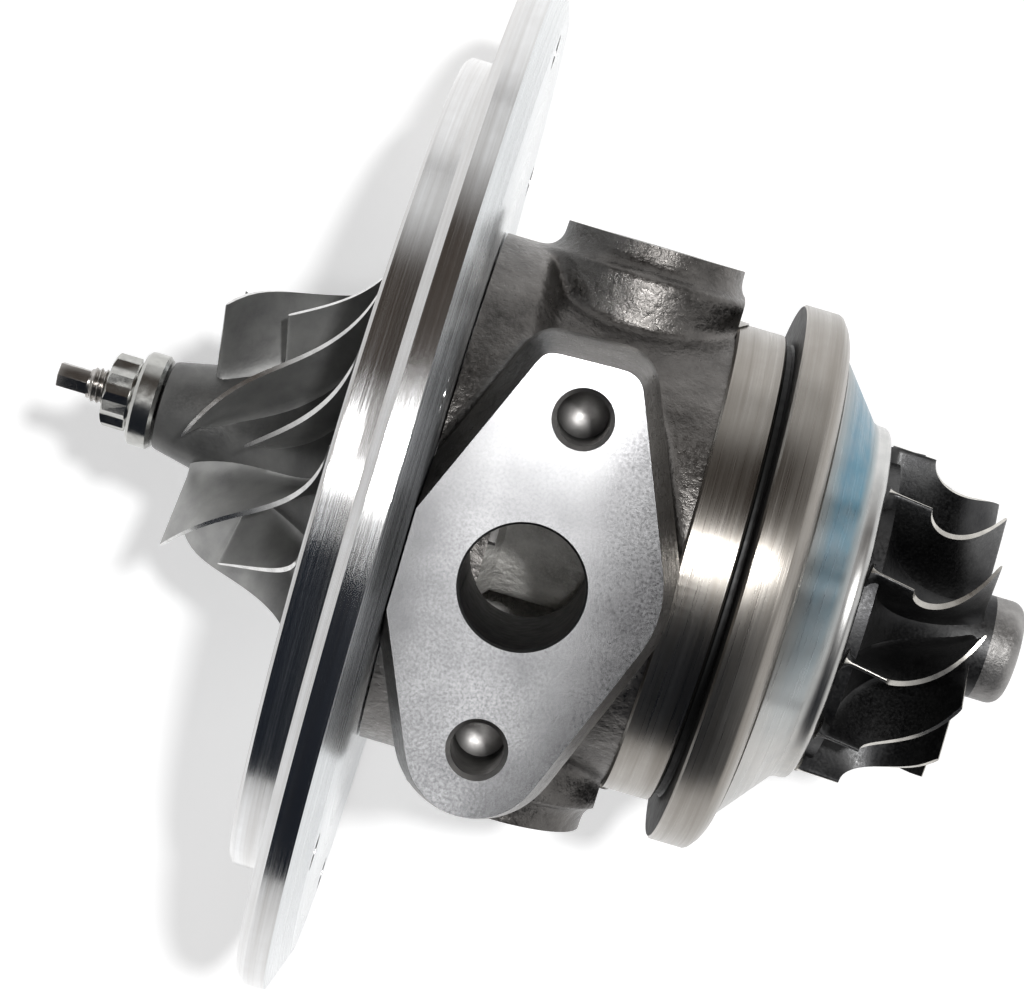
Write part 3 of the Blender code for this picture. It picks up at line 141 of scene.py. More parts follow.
# Turbine wheel
TURBINE_BLADES = 12
TURBINE_PHASE = radians(19.3)
TURBINE_SLANT = radians(2.3)
TURBINE_DIP = radians(4)
TURBINE_EXIT_TURN = radians(21)
TURBINE_EXIT_POWER = 5
TURBINE_BACK_X = 0.0100
TURBINE_EXIT_X = 0.0290
TURBINE_TIP_RADIUS = 0.0246
TURBINE_BACK_RADIUS = 0.0225
TURBINE_BACK_RIM = 0.0018
TURBINE_INLET_WIDTH = 0.0064
TURBINE_EXIT_RADIUS = 0.0202
TURBINE_HUB_RADIUS = 0.0075
TURBINE_EXIT_LEAN = 0.0010
TURBINE_NOSE_LENGTH = 0.0066

# Compressor wheel
COMPRESSOR_BLADES = 6
COMPRESSOR_PHASE = radians(-4)
COMPRESSOR_BACK_X = -0.0600
COMPRESSOR_EXIT_X = -0.0616
COMPRESSOR_INLET_X = -0.0839
COMPRESSOR_NOSE_X = -0.0905
COMPRESSOR_TIP_RADIUS = 0.0300
COMPRESSOR_HUB_RADIUS = 0.0078
COMPRESSOR_INLET_RADIUS = 0.0204
COMPRESSOR_INLET_LEAN = 0.0007
COMPRESSOR_OUTLET_WIDTH = 0.0027
COMPRESSOR_NOSE_RADIUS = 0.0065
COMPRESSOR_SWEEP = radians(20)
COMPRESSOR_SWEEP_POWER = 8
COMPRESSOR_WRAP = radians(52)
SPLITTER_START = 0.28
WHEEL_BORE_RADIUS = 0.0035
BLADE_SINK = 0.0007
EDGE_SETBACK = 0.0002

# Shaft and nut
SHAFT_BACK_X = 0.0097
SEAL_BOSS_RADIUS = 0.0084
SEAL_BOSS_START = -0.0024
SEAL_GROOVE_X = 0.0042
SEAL_GROOVE_HALF = 0.0009
SEAL_GROOVE_RADIUS = 0.0066
JOURNAL_RADIUS = 0.00475
RELIEF_RADIUS = 0.0043
SHAFT_STEP_X = -0.0414
SEAT_SHAFT_RADIUS = 0.0032
THREAD_RADIUS = 0.0026
THREAD_END_X = -0.1015
THREAD_PITCH = 0.0008
DRIVE_END_X = -0.1060
DRIVE_ACROSS = 0.0034
NUT_BACK_X = -0.0908
NUT_FLANGE_RADIUS = 0.0069
NUT_FLANGE_WIDTH = 0.0035
NUT_NECK_WIDTH = 0.0007
NUT_NECK_RADIUS = 0.0049
NUT_POINTS_RADIUS = 0.0054
NUT_POINTS_WIDTH = 0.0036

# Camera: where it looks, how far off it stands, and how it leans and rolls
VIEW_CENTRE = Vector((-0.0389, 0.0007, 0.0))
VIEW_DISTANCE = 0.428
VIEW_TILT = radians(5.75)
VIEW_ROLL = radians(16.5)
VIEW_LENS = 105.5
FLOOR_Z = -0.0745


# Node trees


def add(tree, kind, inputs=None, **settings):
    """Add a node, set its options, and fill or link its inputs."""
    node = tree.nodes.new(kind)
    for key, value in settings.items():
        setattr(node, key, value)
    for key, value in (inputs or {}).items():
        if isinstance(value, bpy.types.NodeSocket):
            tree.links.new(value, node.inputs[key])
        else:
            node.inputs[key].default_value = value
    return node


def object_place(tree):
    return add(tree, "ShaderNodeTexCoord").outputs["Object"]


def noise(tree, scale, detail=4.0, roughness=0.55, distortion=0.0):
    """Plain noise in the piece's own coordinates."""
    inputs = {"Vector": object_place(tree), "Scale": scale, "Detail": detail,
              "Roughness": roughness, "Distortion": distortion}
    return add(tree, "ShaderNodeTexNoise", inputs).outputs["Fac"]


def lathe_noise(tree, across, around, detail=2.0):
    """Noise drawn out round the shaft's axis, as turning lines are."""
    split = add(tree, "ShaderNodeSeparateXYZ", {0: object_place(tree)})
    flat = add(tree, "ShaderNodeCombineXYZ", {1: split.outputs[1], 2: split.outputs[2]})
    radius = add(tree, "ShaderNodeVectorMath", {0: flat.outputs[0]}, operation='LENGTH')
    side = add(tree, "ShaderNodeVectorMath", {0: flat.outputs[0]}, operation='NORMALIZE')
    turn = add(tree, "ShaderNodeSeparateXYZ", {0: side.outputs["Vector"]})

    def scaled(socket, factor):
        return add(tree, "ShaderNodeMath", {0: socket, 1: factor}, operation='MULTIPLY').outputs[0]

    place = add(tree, "ShaderNodeCombineXYZ", {
        0: scaled(split.outputs[0], across),
        1: scaled(radius.outputs["Value"], across),
        2: scaled(turn.outputs[1], around),
    })
    inputs = {"Vector": place.outputs[0], "W": scaled(turn.outputs[2], around),
              "Scale": 1.0, "Detail": detail, "Roughness": 0.6}
    return add(tree, "ShaderNodeTexNoise", inputs, noise_dimensions='4D').outputs["Fac"]


def cells(tree, scale, feature='F1'):
    inputs = {"Vector": object_place(tree), "Scale": scale}
    return add(tree, "ShaderNodeTexVoronoi", inputs, feature=feature).outputs["Distance"]


def ramp(tree, factor, stops):
    """A colour ramp from (position, colour) stops."""
    node = add(tree, "ShaderNodeValToRGB", {"Fac": factor})
    band = node.color_ramp
    while len(band.elements) < len(stops):
        band.elements.new(0.5)
    for element, (position, colour) in zip(band.elements, stops):
        element.position = position
        element.color = (*colour, 1.0)
    return node.outputs["Color"]


def grey(level):
    return (level, level, level)


def levels(tree, factor, low, high, dark=0.0, light=1.0):
    """Stretch a factor between two inputs to two outputs."""
    inputs = {"Value": factor, "From Min": low, "From Max": high, "To Min": dark, "To Max": light}
    return add(tree, "ShaderNodeMapRange", inputs).outputs["Result"]


def blend_colours(tree, factor, first, second, mode='MIX'):
    node = add(tree, "ShaderNodeMix", data_type='RGBA', blend_type=mode)
    for socket, value in ((0, factor), (6, first), (7, second)):
        if isinstance(value, bpy.types.NodeSocket):
            tree.links.new(value, node.inputs[socket])
        elif socket == 0:
            node.inputs[0].default_value = value
        else:
            node.inputs[socket].default_value = (*value, 1.0)
    return node.outputs[2]


def bump(tree, height, depth, strength=1.0, under=None):
    inputs = {"Height": height, "Distance": depth, "Strength": strength}
    if under is not None:
        inputs["Normal"] = under
    return add(tree, "ShaderNodeBump", inputs).outputs["Normal"]


def new_material(name, metallic, roughness, colour):
    material = bpy.data.materials.new(name)
    material.use_nodes = True
    shader = material.node_tree.nodes["Principled BSDF"]
    shader.inputs["Metallic"].default_value = metallic
    shader.inputs["Roughness"].default_value = roughness
    shader.inputs["Base Color"].default_value = (*colour, 1.0)
    material.diffuse_color = (*colour, 1.0)
    return material, material.node_tree, shader


def finish_shader(tree, shader, colour=None, roughness=None, normal=None):
    for name, socket in (("Base Color", colour), ("Roughness", roughness), ("Normal", normal)):
        if socket is not None:
            tree.links.new(socket, shader.inputs[name])


def turned_material(name, dark, light, roughness, line_depth, spread=0.6):
    """Lathe-cut metal: fine lines round the axis, broader bands, and stretched highlights."""
    material, tree, shader = new_material(name, 1.0, roughness, light)
    bands = lathe_noise(tree, 900.0, 0.8, 3.0)
    lines = lathe_noise(tree, 7000.0, 1.6, 2.0)
    mottle = noise(tree, 260.0, 3.0)
    shade = blend_colours(tree, levels(tree, bands, 0.3, 0.7), dark, light)
    worn = blend_colours(tree, levels(tree, mottle, 0.35, 0.75, 0.0, 0.35), shade, dark)
    rough = levels(tree, lines, 0.25, 0.75, roughness - 0.07, roughness + 0.10)
    tangent = add(tree, "ShaderNodeTangent", direction_type='RADIAL', axis='X')
    tree.links.new(tangent.outputs["Tangent"], shader.inputs["Tangent"])
    shader.inputs["Anisotropic"].default_value = spread
    shader.inputs["Anisotropic Rotation"].default_value = 0.25
    finish_shader(tree, shader, worn, rough, bump(tree, lines, line_depth))
    return material


def cast_material(name, dark, light, roughness, grain, depth, metallic=1.0, shade_span=None):
    """Rough cast skin: soft waves, sand grain and pits, and painted shade that darkens it towards
    one end along the shaft.
    """
    material, tree, shader = new_material(name, metallic, roughness, light)
    waves = noise(tree, 90.0 * grain, 4.0)
    sand = noise(tree, 1500.0 * grain, 3.0, 0.7)
    pits = cells(tree, 700.0 * grain)
    shade = ramp(tree, waves, [(0.30, dark), (0.70, light)])
    specks = blend_colours(tree, levels(tree, sand, 0.45, 0.8, 0.0, 0.6), shade, light)
    # Painted shade: between the two places along X the colour darkens to near-black, standing in
    # for the shade in the gap behind a wheel.
    if shade_span is not None:
        split = add(tree, "ShaderNodeSeparateXYZ", {0: object_place(tree)})
        painted_shade = levels(tree, split.outputs[0], shade_span[0], shade_span[1], 0.0, 0.85)
        specks = blend_colours(tree, painted_shade, specks, grey(0.03))
    rough = levels(tree, sand, 0.3, 0.7, roughness - 0.12, roughness + 0.12)
    normal = bump(tree, waves, depth * 4.0)
    normal = bump(tree, sand, depth, 1.0, normal)
    normal = bump(tree, pits, depth * 0.8, 0.6, normal)
    finish_shader(tree, shader, specks, rough, normal)
    return material


def milled_material(name, dark, light, roughness):
    """A milled and blasted sealing face: even grey with a fine mottle."""
    material, tree, shader = new_material(name, 1.0, roughness, light)
    broad = noise(tree, 45.0, 3.0)
    fine = noise(tree, 2600.0, 4.0, 0.7)
    shade = blend_colours(tree, levels(tree, broad, 0.35, 0.7), light, dark)
    speck = blend_colours(tree, levels(tree, fine, 0.45, 0.75, 0.0, 0.5), shade, dark)
    rough = levels(tree, fine, 0.3, 0.7, roughness - 0.03, roughness + 0.05)
    finish_shader(tree, shader, speck, rough, bump(tree, fine, 0.0000015))
    return material


def shield_material():
    """Pressed steel whose cone is tinted blue by heat, with a plainer lip."""
    material, tree, shader = new_material("tinted_steel", 1.0, 0.3, (0.5, 0.55, 0.58))
    split = add(tree, "ShaderNodeSeparateXYZ", {0: object_place(tree)})
    tint = ramp(tree, levels(tree, split.outputs[0], 0.0, 0.0096), [
        (0.00, (0.34, 0.33, 0.31)),
        (0.16, (0.20, 0.27, 0.30)),
        (0.30, (0.06, 0.20, 0.29)),
        (0.62, (0.07, 0.22, 0.31)),
        (0.72, (0.30, 0.36, 0.38)),
        (0.80, (0.62, 0.62, 0.61)),
    ])
    side = levels(tree, split.outputs[1], -0.02, 0.02)
    plain = blend_colours(tree, side, (0.46, 0.45, 0.43), tint)
    lines = lathe_noise(tree, 2500.0, 2.0, 3.0)
    mottle = noise(tree, 350.0, 4.0)
    worn = blend_colours(tree, levels(tree, mottle, 0.4, 0.8, 0.0, 0.4), plain, (0.30, 0.31, 0.32))
    rough = levels(tree, lines, 0.2, 0.8, 0.20, 0.42)
    finish_shader(tree, shader, worn, rough, bump(tree, lines, 0.00002, 0.7))
    return material


def plain_metal(name, colour, roughness, grain=600.0, depth=0.00001):
    """Ground or pressed metal with a light mottle."""
    material, tree, shader = new_material(name, 1.0, roughness, colour)
    spots = noise(tree, grain, 4.0, 0.6)
    darker = tuple(channel * 0.7 for channel in colour)
    shade = blend_colours(tree, levels(tree, spots, 0.4, 0.8), colour, darker)
    rough = levels(tree, spots, 0.3, 0.7, roughness - 0.05, roughness + 0.08)
    finish_shader(tree, shader, shade, rough, bump(tree, spots, depth))
    return material


def rubber_material():
    material, tree, shader = new_material("black_rubber", 0.0, 0.6, grey(0.02))
    grain = noise(tree, 2500.0, 3.0)
    shade = ramp(tree, grain, [(0.3, grey(0.012)), (0.7, grey(0.03))])
    finish_shader(tree, shader, shade, None, bump(tree, grain, 0.00001))
    return material


def new_piece(name, mesh, *materials):
    piece = bpy.data.objects.new(name, mesh)
    bpy.context.scene.collection.objects.link(piece)
    for material in materials:
        mesh.materials.append(material)
    return piece


def bake(piece):
    """Replace a piece's mesh with the result of its modifiers."""
    bpy.context.view_layer.update()
    graph = bpy.context.evaluated_depsgraph_get()
    result = bpy.data.meshes.new_from_object(piece.evaluated_get(graph))
    piece.modifiers.clear()
    piece.data = result
    return piece


def smooth(piece, angle=30):
    piece.data.shade_smooth()
    piece.data.set_sharp_from_angle(angle=radians(angle))
    return piece


def carve(piece, tools, operation='DIFFERENCE'):
    """Cut or join closed tools one after another, and delete them."""
    for tool in tools:
        modifier = piece.modifiers.new("carve", 'BOOLEAN')
        modifier.operation = operation
        modifier.object = tool
        modifier.solver = 'MANIFOLD'
    bake(piece)
    for tool in tools:
        bpy.data.objects.remove(tool, do_unlink=True)
    return piece


def turned(name, profile, steps, *materials, ring=False):
    """Turn a profile of (x, radius) points, outer side first from +X to -X, about X."""
    mesh = bpy.data.meshes.new(name)
    edges = [(index, index + 1) for index in range(len(profile) - 1)]
    if ring:
        edges.append((len(profile) - 1, 0))
    mesh.from_pydata([(x, radius, 0.0) for x, radius in profile], edges, [])
    piece = new_piece(name, mesh, *materials)
    screw = piece.modifiers.new("turn", 'SCREW')
    screw.axis = 'X'
    screw.steps = steps
    screw.render_steps = steps
    screw.use_merge_vertices = True
    screw.merge_threshold = 0.000001
    return bake(piece)


def eased(profile, size, ring=False):
    """Break each corner of a profile with a small flat."""
    points = [Vector(point) for point in profile]
    result = []
    count = len(points)
    for index, point in enumerate(points):
        if not ring and index in (0, count - 1):
            result.append(point)
            continue
        before = points[index - 1] - point
        after = points[(index + 1) % count] - point
        straight = before.angle(after) > radians(168)
        if straight or point.y < 0.00001:
            result.append(point)
            continue
        near = min(size, before.length * 0.4)
        far = min(size, after.length * 0.4)
        result.append(point + before.normalized() * near)
        result.append(point + after.normalized() * far)
    return [tuple(point) for point in result]


def point_along(piece, point, direction):
    piece.rotation_mode = 'QUATERNION'
    piece.rotation_quaternion = Vector((1, 0, 0)).rotation_difference(Vector(direction))
    piece.location = point
    return piece


def drill(point, direction, radius, depth, chamfer=0.0, steps=48):
    """A closed drill shape that enters at a point and goes along a direction."""
    run_in = 2 * radius
    profile = [(depth + 0.5 * radius, 0.0), (depth, radius)]
    if chamfer:
        profile += [(chamfer, radius), (-run_in, radius + chamfer + run_in)]
    else:
        profile.append((-run_in, radius))
    profile.append((-run_in, 0.0))
    return point_along(turned("drill", profile, steps), point, direction)


def rod(start, end, radius, steps=40):
    """A plain closed cylinder between two points."""
    axis = Vector(end) - Vector(start)
    return point_along(turned("rod", [(axis.length, 0.0), (axis.length, radius),
                                      (0.0, radius), (0.0, 0.0)], steps), start, axis)


def block(low, high):
    shape = bmesh.new()
    middle = (Vector(low) + Vector(high)) / 2
    size = Vector(high) - Vector(low)
    matrix = Matrix.Translation(middle) @ Matrix.Diagonal((*size, 1.0))
    bmesh.ops.create_cube(shape, size=1.0, matrix=matrix)
    mesh = bpy.data.meshes.new("block")
    shape.to_mesh(mesh)
    shape.free()
    return new_piece("block", mesh)


def around(radius, angle):
    return radius * sin(angle), radius * cos(angle)


def rounded_outline(corners, arc_steps):
    """Round each (x, y, radius) corner of a polygon that runs clockwise."""
    outline = []
    for index, (x, y, radius) in enumerate(corners):
        corner = Vector((x, y))
        before = (Vector(corners[index - 1][:2]) - corner).normalized()
        after = (Vector(corners[(index + 1) % len(corners)][:2]) - corner).normalized()
        half = before.angle(after) / 2
        centre = corner + (before + after).normalized() * radius / sin(half)
        first = corner + before * radius / tan(half) - centre
        last = corner + after * radius / tan(half) - centre
        sweep = first.angle_signed(last)
        for step in range(arc_steps + 1):
            arm = first.copy()
            arm.rotate(Matrix.Rotation(-sweep * step / arc_steps, 2))
            outline.append(centre + arm)
    return outline


def grown(outline, distance):
    result = []
    for index, point in enumerate(outline):
        along = (outline[(index + 1) % len(outline)] - outline[index - 1]).normalized()
        result.append(point + Vector((-along.y, along.x)) * distance)
    return result


def loft(name, loops):
    """Close a skin over equal loops of 3D points, with a flat cap at each end."""
    shape = bmesh.new()
    rings = [[shape.verts.new(point) for point in loop] for loop in loops]
    count = len(rings[0])
    for upper, lower in zip(rings, rings[1:]):
        for index in range(count):
            following = (index + 1) % count
            shape.faces.new((upper[index], upper[following], lower[following], lower[index]))
    shape.faces.new(rings[0])
    shape.faces.new(reversed(rings[-1]))
    bmesh.ops.recalc_face_normals(shape, faces=shape.faces)
    mesh = bpy.data.meshes.new(name)
    shape.to_mesh(mesh)
    shape.free()
    return new_piece(name, mesh)


def pad_solid():
    """The drain pad with machining stock on its face."""
    outline = rounded_outline(PAD_CORNERS, 12)
    draft = PAD_DRAFT / PAD_DRAFT_HEIGHT
    plate = grown(outline, PAD_DRAFT)
    levels_and_sections = (
        (PAD_HEIGHT + STOCK, grown(outline, -draft * STOCK)),
        (PAD_HEIGHT - PAD_DRAFT_HEIGHT, plate),
        (PAD_NECK_Z, plate),
        (PAD_ROOT_Z, [point * PAD_ROOT_SHARE for point in outline]),
    )
    loops = []
    for height, section in levels_and_sections:
        loops.append([(PAD_X + point.x, PAD_Y + point.y, height) for point in section])
    return loft("pad", loops)


def boss_solid(x, direction, reach, radius, fillet):
    """A round boss with stock on its end and a flared foot."""
    profile = [(reach + STOCK, 0.0), (reach + STOCK, radius)]
    steps = 6
    for step in range(steps + 1):
        angle = pi / 2 * step / steps
        profile.append((SHOULDER_RADIUS + fillet * (1 - sin(angle)),
                        radius + fillet * (1 - cos(angle))))
    profile += [(0.026, radius + fillet), (0.026, 0.0)]
    return point_along(turned("boss", profile, 64), (x, 0, 0), direction)


def merged(name, pieces):
    """Put pieces into one mesh as they lie, and delete them."""
    shape = bmesh.new()
    for piece in pieces:
        bpy.context.view_layer.update()
        mesh = piece.data.copy()
        mesh.transform(piece.matrix_world)
        shape.from_mesh(mesh)
        bpy.data.meshes.remove(mesh)
        bpy.data.objects.remove(piece, do_unlink=True)
    mesh = bpy.data.meshes.new(name)
    shape.to_mesh(mesh)
    shape.free()
    return new_piece(name, mesh)


def cast_skin():
    """The cast body, bosses and pad as one skin with soft fillets where they meet."""
    slope_end = JOINT_X + SHOULDER_WIDTH + SHOULDER_SLOPE
    body = turned("body", [
        (LAND_START_X + 0.002, 0.0),
        (LAND_START_X + 0.002, BODY_RADIUS),
        (slope_end, BODY_RADIUS),
        (JOINT_X + SHOULDER_WIDTH, SHOULDER_RADIUS),
        (JOINT_X - 2 * STOCK, SHOULDER_RADIUS),
        (JOINT_X - 2 * STOCK, 0.0),
    ], 128)
    bosses = [boss_solid(PORT_X, (0, side, 0), PORT_REACH, PORT_BOSS_RADIUS, PORT_FILLET)
              for side in (-1, 1)]
    bosses.append(boss_solid(INLET_X, (0, 0, -1), INLET_REACH, INLET_BOSS_RADIUS,
                             PORT_FILLET / 2))
    skin = merged("housing_casting", [body, *bosses, pad_solid()])
    remesh = skin.modifiers.new("voxels", 'REMESH')
    remesh.mode = 'VOXEL'
    remesh.voxel_size = 0.0006
    relax = skin.modifiers.new("relax", 'SMOOTH')
    relax.factor = 0.5
    relax.iterations = 10
    return bake(skin)


def machining():
    """Everything that machining takes off the outside of the casting."""
    far = 0.10
    ring = [(LAND_END_X + 0.0006, far), (LAND_START_X, far), (LAND_START_X, LAND_RADIUS + FIT_GAP),
            (LAND_END_X + 0.0006, LAND_RADIUS + FIT_GAP)]
    tools = [
        turned("machining_ring", ring, 160, ring=True),
        block((JOINT_X - far, -far, -far), (JOINT_X, far, far)),
        block((-far, -far, PAD_HEIGHT), (far, far, PAD_HEIGHT + far)),
        block((-far, PORT_REACH, -far), (far, PORT_REACH + far, far)),
        block((-far, -PORT_REACH - far, -far), (far, -PORT_REACH, far)),
        block((-far, -far, -INLET_REACH - far), (far, far, -INLET_REACH)),
    ]
    return tools


def turned_end():
    """The crisp turned end of the housing: nose, seat, flange, groove and land."""
    profile = [
        (NOSE_LENGTH, 0.0),
        (NOSE_LENGTH, NOSE_TIP_RADIUS),
        (-SEAT_RECESS_DEPTH, NOSE_ROOT_RADIUS),
        (-SEAT_RECESS_DEPTH, SEAT_INNER_RADIUS),
        (0.0, SEAT_INNER_RADIUS),
        (0.0, SEAT_OUTER_RADIUS),
        (-FLANGE_TAPER * 0.35, (SEAT_OUTER_RADIUS + FLANGE_RADIUS) / 2),
        (-FLANGE_TAPER, FLANGE_RADIUS),
        (-FLANGE_WIDTH, FLANGE_RADIUS),
        (-FLANGE_WIDTH, GROOVE_RADIUS),
        (LAND_END_X, GROOVE_RADIUS),
        (LAND_END_X, LAND_RADIUS),
        (LAND_START_X, LAND_RADIUS),
        (LAND_START_X, BODY_RADIUS - 0.003),
        (LAND_START_X - 0.004, BODY_RADIUS - 0.003),
        (LAND_START_X - 0.004, 0.0),
    ]
    return turned("turned_end", eased(profile, 0.0003), 160)


def main_bore():
    over = 0.002
    profile = [
        (NOSE_LENGTH + over, 0.0),
        (NOSE_LENGTH + over, SEAL_BORE_RADIUS),
        (BEARING_BORE_END, SEAL_BORE_RADIUS),
        (BEARING_BORE_END, BEARING_BORE_RADIUS),
    ]
    for station in RING_STATIONS:
        profile += [
            (station + RING_GROOVE_HALF, BEARING_BORE_RADIUS),
            (station + RING_GROOVE_HALF, RING_GROOVE_RADIUS),
            (station - RING_GROOVE_HALF, RING_GROOVE_RADIUS),
            (station - RING_GROOVE_HALF, BEARING_BORE_RADIUS),
        ]
    profile += [
        (COLLAR_RECESS_X, BEARING_BORE_RADIUS),
        (COLLAR_RECESS_X, COLLAR_RECESS_RADIUS),
        (THRUST_FLOOR_X, COLLAR_RECESS_RADIUS),
        (THRUST_FLOOR_X, THRUST_RECESS_RADIUS),
        (JOINT_X - over, THRUST_RECESS_RADIUS),
        (JOINT_X - over, 0.0),
    ]
    return turned("main_bore", profile, 64)


def drain_chamber():
    """The cored space round the bearing tube, with its web below."""
    profile = [
        (CHAMBER_END, CHAMBER_OUTER_RADIUS),
        (CHAMBER_START, CHAMBER_OUTER_RADIUS),
        (CHAMBER_START, CHAMBER_INNER_RADIUS),
        (CHAMBER_END, CHAMBER_INNER_RADIUS),
    ]
    chamber = turned("chamber", eased(profile, 0.002, ring=True), 72, ring=True)
    web = block((CHAMBER_START - 0.001, -OIL_WEB_HALF_WIDTH, -CHAMBER_OUTER_RADIUS - 0.001),
                (CHAMBER_END + 0.001, OIL_WEB_HALF_WIDTH, -CHAMBER_INNER_RADIUS * 0.7))
    return carve(chamber, [web])


def drain_bore_place():
    return Vector((PAD_X + DRAIN_BORE_SHIFT[0], PAD_Y + DRAIN_BORE_SHIFT[1], PAD_HEIGHT))


def drain_bolt_places():
    places = []
    for side in (-1, 1):
        reach = side * DRAIN_BOLT_PITCH / 2
        places.append(Vector((PAD_X + reach * sin(DRAIN_BOLT_TURN),
                              PAD_Y + reach * cos(DRAIN_BOLT_TURN), PAD_HEIGHT)))
    return places


def screw_places():
    return [around(SCREW_CIRCLE, radians(45) + pi / 2 * index) for index in range(4)]


def housing_bores():
    tools = [main_bore(), drain_chamber()]
    floor = (CHAMBER_INNER_RADIUS + CHAMBER_OUTER_RADIUS) / 2
    mouth = drain_bore_place()
    tools.append(rod((mouth.x, mouth.y, floor), (mouth.x, mouth.y, PAD_HEIGHT + 0.002),
                     DRAIN_BORE_RADIUS, 96))
    bevel = drill(mouth, (0, 0, -1), DRAIN_BORE_RADIUS, 0.003, 0.0003, 96)
    tools.append(bevel)
    for place in drain_bolt_places():
        tools.append(drill(place, (0, 0, -1), DRAIN_BOLT_RADIUS, DRAIN_BOLT_DEPTH, 0.0006, 64))
    for side in (-1, 1):
        tools.append(drill((PORT_X, side * PORT_REACH, 0), (0, -side, 0), PORT_BORE_RADIUS,
                           PORT_BORE_DEPTH, PORT_CHAMFER, 64))
    tools.append(drill((INLET_X, 0, -INLET_REACH), (0, 0, 1), INLET_BORE_RADIUS,
                       INLET_BORE_DEPTH, PORT_CHAMFER))
    for y, z in screw_places():
        tools.append(drill((JOINT_X, y, z), (1, 0, 0), 0.0028, 0.0087, steps=24))
    slot_low = (THRUST_FLOOR_X - FIT_GAP, -0.0045, 0.0092)
    slot_high = (CHAMBER_START + 0.001, 0.0045, 0.0162)
    tools.append(block(slot_low, slot_high))
    return tools


def near_line(point, origin, axis, radius):
    """Whether a point lies within a radius of a line along X, Y or Z."""
    offset = [point[index] - origin[index] for index in range(3) if index != axis]
    return hypot(*offset) < radius


def housing_slot(centre, normal):
    """Which of the housing's materials a face takes, from where it lies."""
    skin, lathe, milled, bored, groove, core = range(6)
    close = 0.00002
    radius = hypot(centre.y, centre.z)
    if abs(centre.z - PAD_HEIGHT) < close and normal.z > 0.9:
        return milled
    if abs(abs(centre.y) - PORT_REACH) < close and abs(normal.y) > 0.9:
        return milled
    if abs(centre.z + INLET_REACH) < close or abs(centre.x - JOINT_X) < close:
        return milled
    for place in drain_bolt_places():
        if near_line(centre, place, 2, DRAIN_BOLT_RADIUS + 0.0008) and centre.z > 0.03:
            return bored
    if near_line(centre, (PORT_X, 0, 0), 1, PORT_BORE_RADIUS + 0.001) and abs(centre.y) > 0.024:
        return bored
    if near_line(centre, (INLET_X, 0, 0), 2, INLET_BORE_RADIUS + 0.001) and centre.z < -0.024:
        return bored
    # Painted shade: the drain bore's wall and the groove by the flange take the near-black groove
    # iron.
    if near_line(centre, drain_bore_place(), 2, DRAIN_BORE_RADIUS + 0.0004) and centre.z > 0.0245:
        return groove
    if centre.x > LAND_START_X - close and radius > GROOVE_RADIUS - 0.0006:
        in_groove = LAND_END_X - close < centre.x < -FLANGE_WIDTH + close
        return groove if in_groove else lathe
    if radius < BEARING_BORE_RADIUS + 0.0015:
        return bored
    # Painted light: the cored chamber takes the light core iron.
    cored = CHAMBER_START - close < centre.x < CHAMBER_END + close
    return core if cored and radius < CHAMBER_OUTER_RADIUS + close else skin


def dress(piece, rule):
    """Give each face the material slot that a rule names."""
    for face in piece.data.polygons:
        face.material_index = rule(face.center, face.normal)
    return piece


def make_housing(materials):
    """The housing: a soft cast skin cut by crisp machining."""
    casting = carve(cast_skin(), machining())
    carve(casting, [turned_end()], 'UNION')
    carve(casting, housing_bores())
    casting.data.materials.clear()
    for material in materials:
        casting.data.materials.append(material)
    return smooth(dress(casting, housing_slot))


def make_backplate(face, rim):
    """The two-step turned disc with its holes."""
    pocket = PLATE_POCKET_RADIUS
    floor = PLATE_REAR_X - 0.0023
    profile = [
        (PLATE_REAR_X, PLATE_REAR_RADIUS),
        (PLATE_REAR_X - PLATE_TAPER_WIDTH, PLATE_RADIUS),
        (PLATE_STEP_X + PLATE_STEP_CHAMFER, PLATE_RADIUS),
        (PLATE_STEP_X, PLATE_RADIUS - PLATE_STEP_CHAMFER),
        (PLATE_STEP_X, PLATE_GROOVE_RADIUS),
        (PLATE_STEP_X + PLATE_GROOVE_DEPTH, PLATE_GROOVE_RADIUS),
        (PLATE_STEP_X + PLATE_GROOVE_DEPTH, PLATE_FRONT_RADIUS),
        (PLATE_FRONT_X + 0.0005, PLATE_FRONT_RADIUS),
        (PLATE_FRONT_X, PLATE_FRONT_RADIUS - 0.0005),
        (PLATE_FRONT_X, PLATE_RECESS_RADIUS + 0.0003),
        (PLATE_FRONT_X + 0.0003, PLATE_RECESS_RADIUS),
        (PLATE_FLOOR_X, PLATE_RECESS_RADIUS),
        (PLATE_FLOOR_X, PLATE_BORE_RADIUS + 0.0002),
        (PLATE_FLOOR_X + 0.0002, PLATE_BORE_RADIUS),
        (PLATE_POCKET_X, PLATE_BORE_RADIUS),
        (PLATE_POCKET_X, pocket),
        (PLATE_REAR_X, pocket),
        (PLATE_REAR_X, O_RING_RADIUS - O_RING_HALF),
        (floor, O_RING_RADIUS - O_RING_HALF),
        (floor, O_RING_RADIUS + O_RING_HALF),
        (PLATE_REAR_X, O_RING_RADIUS + O_RING_HALF),
    ]
    plate = turned("backplate_disc", profile, 224, ring=True)
    tools = []
    for y, z in screw_places():
        tools.append(rod((PLATE_FLOOR_X - 0.001, y, z), (-0.0560, y, z), 0.0044))
        tools.append(rod((-0.0570, y, z), (PLATE_REAR_X + 0.001, y, z), 0.0028))
    for index in range(6):
        y, z = around(RIM_HOLE_CIRCLE, RIM_HOLE_PHASE + pi / 3 * index)
        tools.append(rod((PLATE_STEP_X - 0.001, y, z), (PLATE_REAR_X + 0.001, y, z),
                         RIM_HOLE_RADIUS))
    carve(plate, tools)
    plate.data.materials.clear()
    plate.data.materials.append(face)
    plate.data.materials.append(rim)
    return smooth(dress(plate, lambda centre, normal: 1 if abs(normal.x) < 0.9 else 0), 20)


